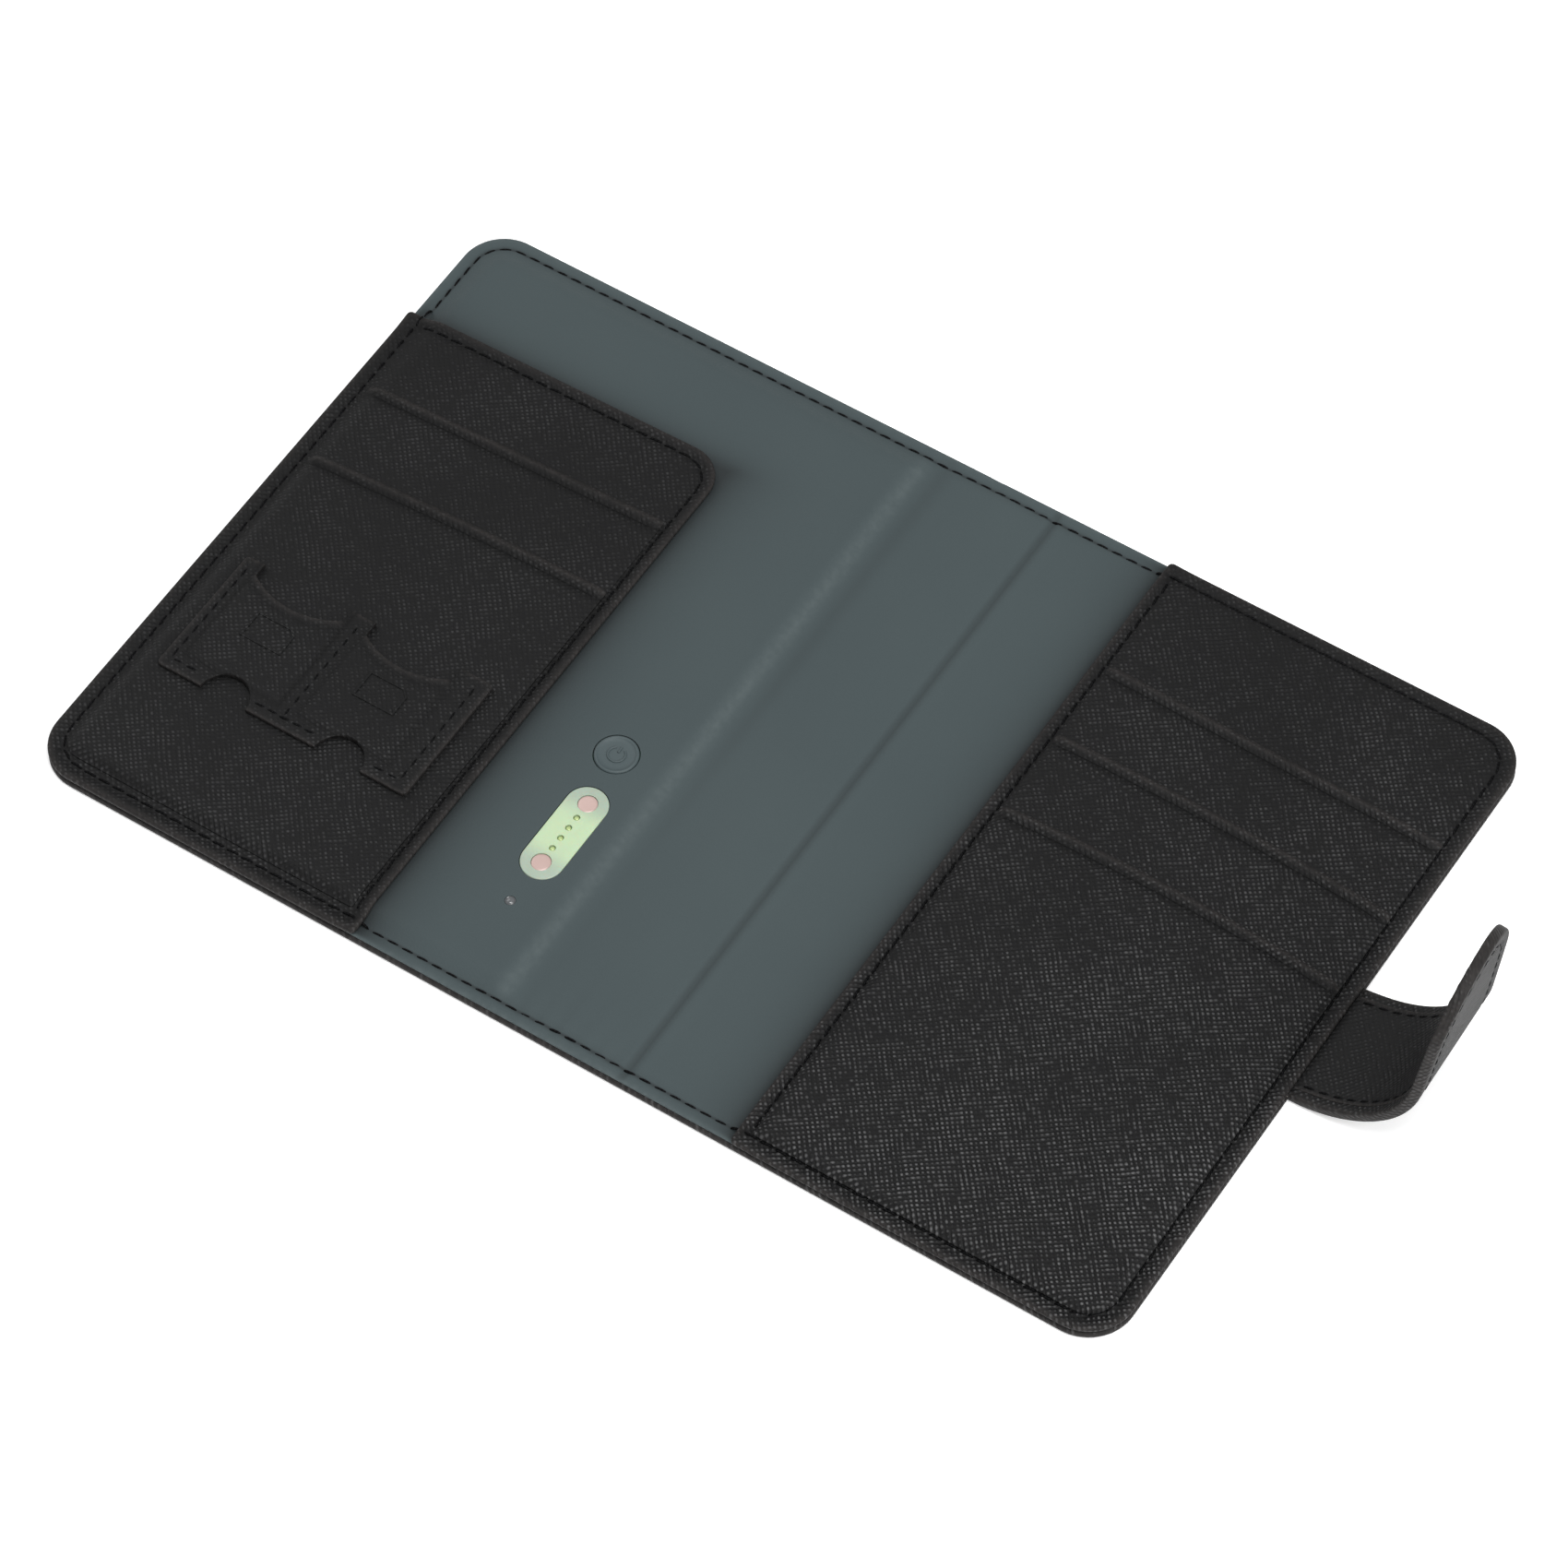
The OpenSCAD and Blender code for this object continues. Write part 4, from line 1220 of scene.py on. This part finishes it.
def sew(bm, holes, height, template=STITCH, under=False, keep=lambda x, y: True):
    count = 0
    for a, b in zip(holes, holes[1:]):
        mid = (a + b) / 2
        if not keep(*mid):
            continue
        ends = [float(height(np.array([p[0]]), np.array([p[1]]))[0]) for p in (a, b)]
        lean = math.atan2(ends[1] - ends[0], float(np.hypot(*(b - a))))
        turn = math.atan2(b[1] - a[1], b[0] - a[0]) + math.radians(4 + dice.uniform(-2, 2))
        old = len(bm.verts)
        bm.from_mesh(template)
        bm.verts.ensure_lookup_table()
        move = Matrix.Translation((*mid, sum(ends) / 2 + (SINK if under else -SINK)))
        move @= Matrix.Rotation(turn, 4, "Z")
        move @= Matrix.Rotation(math.pi, 4, "X") if under else Matrix.Rotation(-lean, 4, "Y")
        bmesh.ops.transform(bm, matrix=move, verts=bm.verts[old:])
        count += 1
    return count


def sheet_top(x, y):
    """Whatever lies uppermost under the rim seam: a panel or the lining."""
    front = (x < FRONT_PANEL[1]) & (y < FRONT_PANEL[3])
    rear = x > BACK_PANEL[0]
    return np.where(front, front_panel_top(x, y), np.where(rear, back_panel_top(x, y),
                                                           lining_top(x, y) - 0.12)) - 0.02


def thread_piece(name, seams, shift=None):
    bm = bmesh.new()
    total = sum(sew(bm, *args, **more) for args, more in seams)
    if shift is not None:
        co = coords(bm)
        co[:, 1] += shift(co[:, 0], co[:, 1])
        set_coords(bm, co)
    print(name, "has", total, "stitches")
    return finish_piece(bm, name, THREAD, sharp=70)


def bottom_at(x, y):
    return np.full(len(x), 0.30)


def rim_thread(name, keep):
    return thread_piece(name, [((RIM_SEAM, sheet_top), {"keep": keep}),
                               ((RIM_SEAM, bottom_at), {"keep": keep, "under": True})])


rim_front = rim_thread("rim_thread_front", lambda x, y: x < 0)
rim_back = rim_thread("rim_thread_back", lambda x, y: x >= 0)
fold_half(rim_front, -1)
fold_half(rim_back, 1)
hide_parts("front_edge_thread")

# %% Hems and the patch's seams
hem_front = thread_piece("front_hem_thread", [((FRONT_HEM, front_panel_top), {})], sag)
hem_back = thread_piece("back_hem_thread", [((BACK_HEM, back_panel_top), {})])
sy0, sy1 = py + 2.2, py + ph - 2.0
patch_seams = [[(at, sy0), (at, sy1)] for at in PATCH_SEAMS]
patch_seams += [[(a, sy0), (b, sy0)] for a, b in ((PATCH_SEAMS[0], px + 7.6), (px + 19.8, px + 33.2),
                                                  (px + 45.4, PATCH_SEAMS[2]))]
sim_seam = thread_piece("sim_patch_thread", [((holes_along(s, 2.9), patch_top), {})
                                             for s in patch_seams])
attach(hem_front, "front_cover")
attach(hem_back, "back_cover")
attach(sim_seam, "front_cover")
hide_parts("front_panel_thread")
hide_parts("back_panel_thread")
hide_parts("sim_thread")

# %% [markdown]
# The strap is two leaves of leather sewn back to back. It leaves the back cover's fore edge, curls
# up in a round sweep and ends in an upright tab. It is easiest to make it flat, with its rounded
# end, its wrapped edges and its stitches, and then to roll it up. Along the curl a distance becomes
# an angle; past the curl it runs straight. Everything on the strap is rolled by the same rule.

# %% Roll the strap
CURL_X, CURL_Z, MID_R, CURL_END = FORE - 2.0, 26.5, 25.4, math.radians(83)
STRAP_HALF = (span("strap_tab_outer")[3] - span("strap_tab_outer")[2]) / 2
TAB_FOOT = CURL_Z - MID_R * math.cos(CURL_END)
S_END = MID_R * CURL_END + (span("strap_tab_outer")[5] - TAB_FOOT) / math.sin(CURL_END)
S_SPLIT = MID_R * CURL_END / 2
TAB_R, LEAF_IN, TWIST = 12.2, 1.9, 0.075


def roll_up(co):
    """Points on the flat strap (along, across, towards the wallet) to their place on the curl."""
    s, y, h = co.T
    angle = np.minimum(s / MID_R, CURL_END)
    past = np.maximum(s - MID_R * CURL_END, 0)
    x = CURL_X + (MID_R - h) * np.sin(angle) + past * math.cos(CURL_END)
    z = CURL_Z - (MID_R - h) * np.cos(angle) + past * math.sin(CURL_END)
    return np.stack([x - y * TWIST * (s / S_END) ** 2, y, z], axis=1)


print(f"the strap is {S_END:.1f} mm long and {2 * STRAP_HALF:.1f} mm wide")

# %% Strap leather and its inner leaf
def strap_leaf(name, s0, s1, inset, h0, h1, roll, side):
    box = (s0, s1, -STRAP_HALF + inset, STRAP_HALF - inset)
    last = s1 > S_SPLIT + 1
    r = TAB_R - inset
    bm = flat_sheet(box, (0, r, r, 0) if last else (0, 0, 0, 0), h1 - h0, 0.9, roll, side,
                    first=max(0.9, roll + 0.15))
    rim_box, rim_r = (-30, S_END - inset, box[2], box[3]), (0.1, r, r, 0.1)
    mark_sheet(bm, turned=lambda x, y: hump(depth_in(x, y, rim_box, rim_r), 0, 0.8),
               # painted shade along the seam's channel
               tucked=lambda x, y: 0.6 * hump(depth_in(x, y, rim_box, rim_r), SEAM_IN - inset, 0.5),
               # the outer leaf's higher crisp value paints its pillow tops lighter: a painted highlight
               crisp=lambda x, y: np.full(len(x), 0.12 if inset > 1 else 0.5))
    co = coords(bm)
    s, y, z = co.T
    rim = depth_in(s, y, rim_box, rim_r)
    thin = 0.72 + 0.28 * ramp(s, 1.0, 6.0)
    h = h0 + z
    sunk = (0.18 if inset < 1 else 0.12) * hump(rim, 2.8 - inset, 0.6)
    h = np.where(np.abs(h) > 0.5, h - np.sign(h) * sunk, h)
    set_coords(bm, roll_up(np.stack([s, y, h * thin], axis=1)))
    return finish_piece(bm, name, OUTER_LEATHER)


OUTER, INSIDE = (0, -1.1, 0.95, 0.8), (LEAF_IN, 0.75, 1.15, 0.16)
strap_root = strap_leaf("strap_root_leather", 1.0, S_SPLIT, *OUTER, "right")
strap_tab = strap_leaf("strap_tab_leather", S_SPLIT, S_END, *OUTER, "left")
leaf_root = strap_leaf("strap_root_lining", 1.0, S_SPLIT, *INSIDE, "right")
leaf_tab = strap_leaf("strap_tab_lining", S_SPLIT, S_END - LEAF_IN, *INSIDE, "left")

# %% Strap stitches
def strap_seam():
    x1, half, r = S_END - SEAM_IN, STRAP_HALF - SEAM_IN, TAB_R - SEAM_IN
    ring = [(x1 - r + r * math.cos(a), -half + r + r * math.sin(a) if a < 0 else
             half - r + r * math.sin(a)) for a in np.linspace(-math.pi / 2, math.pi / 2, 40)]
    return holes_along([(3.2, -half), *ring, (3.2, half)], 3.0)


STRAP_HOLES = strap_seam()


def strap_thread(name, keep):
    bm = bmesh.new()
    sew(bm, STRAP_HOLES, lambda x, y: np.full(len(x), 1.08), STRAP_STITCH, keep=keep)
    sew(bm, STRAP_HOLES, lambda x, y: np.full(len(x), -0.98), STRAP_STITCH, under=True, keep=keep)
    set_coords(bm, roll_up(coords(bm)))
    return finish_piece(bm, name, THREAD, sharp=70)


sewn_root = strap_thread("strap_root_thread", lambda x, y: x < S_SPLIT)
sewn_tab = strap_thread("strap_tab_thread", lambda x, y: x >= S_SPLIT)
print("strap seam:", len(STRAP_HOLES) - 1, "stitches a side")

# %% [markdown]
# The strap also bends at two joints: where it leaves the cover, and where the curl meets the tab.
# It is split half-way round the curl, between the two, so each part blends over one joint.

# %% Bend the strap at its joints
def along_strap(s):
    return tuple(c / 1000 for c in roll_up(np.array([[s, 0.0, 0.0]]))[0])


ROOT_S, TAB_S = MID_R * math.radians(7.69), MID_R * CURL_END
for piece in (strap_root, leaf_root, sewn_root):
    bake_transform(piece, "back_cover", "strap_bridge", start=along_strap(ROOT_S - 1.3),
             end=along_strap(ROOT_S + 1.9))
for piece in (strap_tab, leaf_tab, sewn_tab):
    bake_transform(piece, "strap_bridge", "strap_tab", start=along_strap(TAB_S - 3.5),
             end=along_strap(TAB_S + 3.5))
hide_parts("strap_bridge_outer")
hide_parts("strap_bridge_inner")
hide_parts("strap_tab_outer")
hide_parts("strap_tab_inner")
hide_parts("strap_thread")
print("strap bends at", [round(c, 4) for c in along_strap(ROOT_S)],
      [round(c, 4) for c in along_strap(TAB_S)])

# %% [markdown]
# The power button is a round cap moulded in the lining's colour, with a raised ring near its rim
# and a plain on-off sign. A round thing with a shaped top is a profile spun about its axis. The
# sign is a small round rod: most of a ring of it, and a short bar standing in the gap.

# %% Power button
def spun(profile, x, y, steps=48):
    """Spins a profile of (radius, height) points round a vertical axis at x, y."""
    bm = bmesh.new()
    verts = [bm.verts.new((x + r, y, z)) for r, z in profile]
    edges = [bm.edges.new(pair) for pair in zip(verts, verts[1:])]
    bmesh.ops.spin(bm, geom=verts + edges, cent=(x, y, 0), axis=(0, 0, 1), angle=2 * math.pi,
                   steps=steps, use_merge=True)
    bmesh.ops.remove_doubles(bm, verts=bm.verts, dist=1e-4)
    bmesh.ops.recalc_face_normals(bm, faces=bm.faces)
    return bm


def add_rod(bm, points, radius):
    """A rounded rod along a line of points, by extruding a ring of eight from each to the next."""
    ring = bmesh.ops.create_circle(bm, segments=8, radius=radius, cap_ends=True)["verts"]
    first = (Vector(points[1]) - Vector(points[0])).to_track_quat("Z", "Y").to_matrix().to_4x4()
    bmesh.ops.transform(bm, matrix=Matrix.Translation(points[0]) @ first, verts=ring)
    face = next(f for f in ring[0].link_faces if all(v in f.verts for v in ring))
    for a, b, c in zip(points, points[1:], points[2:] + [None]):
        grown = bmesh.ops.extrude_discrete_faces(bm, faces=[face])
        face = grown["faces"][0]
        bmesh.ops.translate(bm, verts=face.verts, vec=Vector(b) - Vector(a))
        if c is not None:
            bend = (Vector(b) - Vector(a)).rotation_difference(Vector(c) - Vector(b)).to_matrix()
            bmesh.ops.rotate(bm, verts=face.verts, cent=b, matrix=bend)


bx, by = button_mid
br, top_z = BUTTON_R, RAISED_Z
cap = spun([(0, top_z - 0.02), (1.2, top_z - 0.03), (2.6, top_z - 0.05), (3.3, top_z - 0.04),
            (3.44, top_z + 0.06), (3.60, top_z + 0.20), (3.80, top_z + 0.22), (3.98, top_z + 0.12),
            (br, top_z - 0.05), (br, top_z - 0.45), (br - 0.1, top_z - 0.5), (0, top_z - 0.5)],
           bx, by)
sign = [(bx + 1.6 * math.sin(a), by + 1.6 * math.cos(a), top_z + 0.01)
        for a in np.linspace(math.radians(32), math.radians(328), 30)]
add_rod(cap, sign, 0.2)
add_rod(cap, [(bx, by + 0.45 + 0.35 * i, top_z + 0.01) for i in range(5)], 0.19)
button = finish_piece(cap, "power_button_cap", BUTTON, sharp=50)
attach(button, "power_button")
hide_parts("power_button")

# %% [markdown]
# The charge port is a pale moulded insert in a rounded slot. Two flat magnets guide the plug, and
# four spring contacts sit between them in small wells. The resin looks light green in its middle
# and greyer at its ends, so its colour follows the height along the cover.

# %% Finish: port resin
def port_resin():
    finish, tree, surface, place = start_finish(
        "port_resin", False, Specular_IOR_Level=0.45, Subsurface_Weight=0.15,
        Subsurface_Scale=0.001)
    pores = use_group(tree, FINE_GRAIN, Vector=place, Pebbles=1500.0, Clouds=240.0)
    parts = put(tree, "SeparateXYZ", {0: place})
    away = sums(tree, "ABSOLUTE", sums(tree, "SUBTRACT", parts.outputs[1], port_mid[1] / 1000))
    ends = put(tree, "MapRange", {"Value": away, "From Min": 0.003, "From Max": 0.0085},
               interpolation_type="SMOOTHSTEP")
    tone = blend_colours(tree, ends.outputs[0], (0.43, 0.55, 0.35, 1), (0.31, 0.375, 0.30, 1))
    tone = blend_colours(tree, mottled(tree, pores, 0.0, 0.25), tone, (0.36, 0.46, 0.375, 1))
    end_finish(tree, surface, tone, remap(tree, pores.outputs["Mottle"], 0.3, 0.45),
               pores.outputs["Height"], 0.00001)
    return finish


PORT_RESIN = port_resin()
print("port finish:", PORT_RESIN.name)

# %% Charge port, magnets and contacts
CONTACT_PITCH, MAGNET_AT = 2.54, 7.3
port_top = RAISED_Z + 0.02
insert = rounded_plate(PORT[:4], (PORT_R - 0.001,) * 4, 1.6, port_top, 16)
bmesh.ops.remove_doubles(insert, verts=insert.verts, dist=0.01)
brim = [e for e in insert.edges if all(v.co.z > port_top - 0.01 for v in e.verts)]
round_edges(insert, brim, 0.22)
insert = finish_piece(insert, "charge_port_insert", PORT_RESIN, sharp=50)
contact_mids = [(port_mid[0], port_mid[1] + (i - 1.5) * CONTACT_PITCH) for i in range(4)]
magnet_mids = [(port_mid[0], port_mid[1] + MAGNET_AT), (port_mid[0], port_mid[1] - MAGNET_AT)]
punch_out(insert, [round_rod(*m, 1.86, 2.6, 9, 40) for m in magnet_mids] +
          [round_rod(*m, 0.64, 2.4, 9, 24) for m in contact_mids])
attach(insert, "front_cover")
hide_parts("charge_port")

for m, name in zip(magnet_mids, ("head", "tail")):
    disc = spun([(0, port_top - 0.09), (1.3, port_top - 0.09), (1.62, port_top - 0.11),
                 (1.8, port_top - 0.22), (1.8, 2.65), (0, 2.65)], *m, 36)
    disc = finish_piece(disc, f"magnet_disc_{name}", MAGNET, sharp=50)
    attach(disc, "front_cover")
    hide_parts(f"port_magnet_{name}")
for i, m in enumerate(contact_mids):
    pin = spun([(0, port_top - 0.12), (0.3, port_top - 0.15), (0.5, port_top - 0.3), (0.58, 2.9),
                (0.58, 2.5), (0, 2.5)], *m, 20)
    pin = finish_piece(pin, f"contact_pin_{i + 1}", CONTACT, sharp=50)
    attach(pin, "front_cover")
    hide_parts(f"contact_{i + 1}")

# %% Status window
wz = RAISED_Z
lens = spun([(0, wz + 0.16), (0.35, wz + 0.13), (0.6, wz + 0.04), (0.74, wz - 0.1),
             (0.80, wz - 0.04), (0.88, wz + 0.02), (0.95, wz - 0.04), (0.96, wz - 0.6),
             (0, wz - 0.6)], *window_mid, 28)
lens = finish_piece(lens, "status_lens", LENS, sharp=60)
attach(lens, "front_cover")
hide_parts("status_window")

# %% [markdown]
# The stiff parts inside keep their shapes from the frame and only get a finish: the moulded
# chassis, the battery, the circuit board, the switch, the card stiffeners, the strap's anchor and
# the hidden steel and magnet of the closure.

# %% Dress the inner parts
INNER = {"front_chassis": RESIN, "button_switch": RESIN, "battery_cell": FOIL,
         "circuit_board": BOARD, "closure_plate": STEEL, "spine_board": CARD, "back_board": CARD,
         "strap_anchor": CARD, "strap_magnet": STEEL}
for node, finish in INNER.items():
    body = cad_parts[node].data
    body.materials.clear()
    body.materials.append(finish)
print("dressed:", ", ".join(INNER))

# %% [markdown]
# The lining, the pockets and their slots are thin sheets.


print("the lining, pockets and slots are thin sheets")

# %% [markdown]
# The floor is a plain pale board, far larger than the wallet, just under it.

# %% Floor
ground = bmesh.new()
bmesh.ops.create_grid(ground, x_segments=4, y_segments=4, size=3.0)
bmesh.ops.translate(ground, verts=ground.verts, vec=(0, 0, -0.0001))
floor_mesh = bpy.data.meshes.new("floor")
ground.to_mesh(floor_mesh)
ground.free()
floor = bpy.data.objects.new("floor", floor_mesh)
scene.collection.objects.link(floor)
pale, tree, surface, place = start_finish("pale_floor", False, Roughness=0.9,
                                          Specular_IOR_Level=0.1)
cloud = use_group(tree, FINE_GRAIN, Vector=place, Pebbles=900.0, Clouds=4.0)
tree.links.new(blend_colours(tree, cloud.outputs["Mottle"], (0.9, 0.9, 0.9, 1),
                             (0.92, 0.92, 0.92, 1)), surface.inputs["Base Color"])
surface.inputs["Emission Color"].default_value = (1, 1, 1, 1)
surface.inputs["Emission Strength"].default_value = 0.3
floor_mesh.materials.append(pale)
print("floor laid")
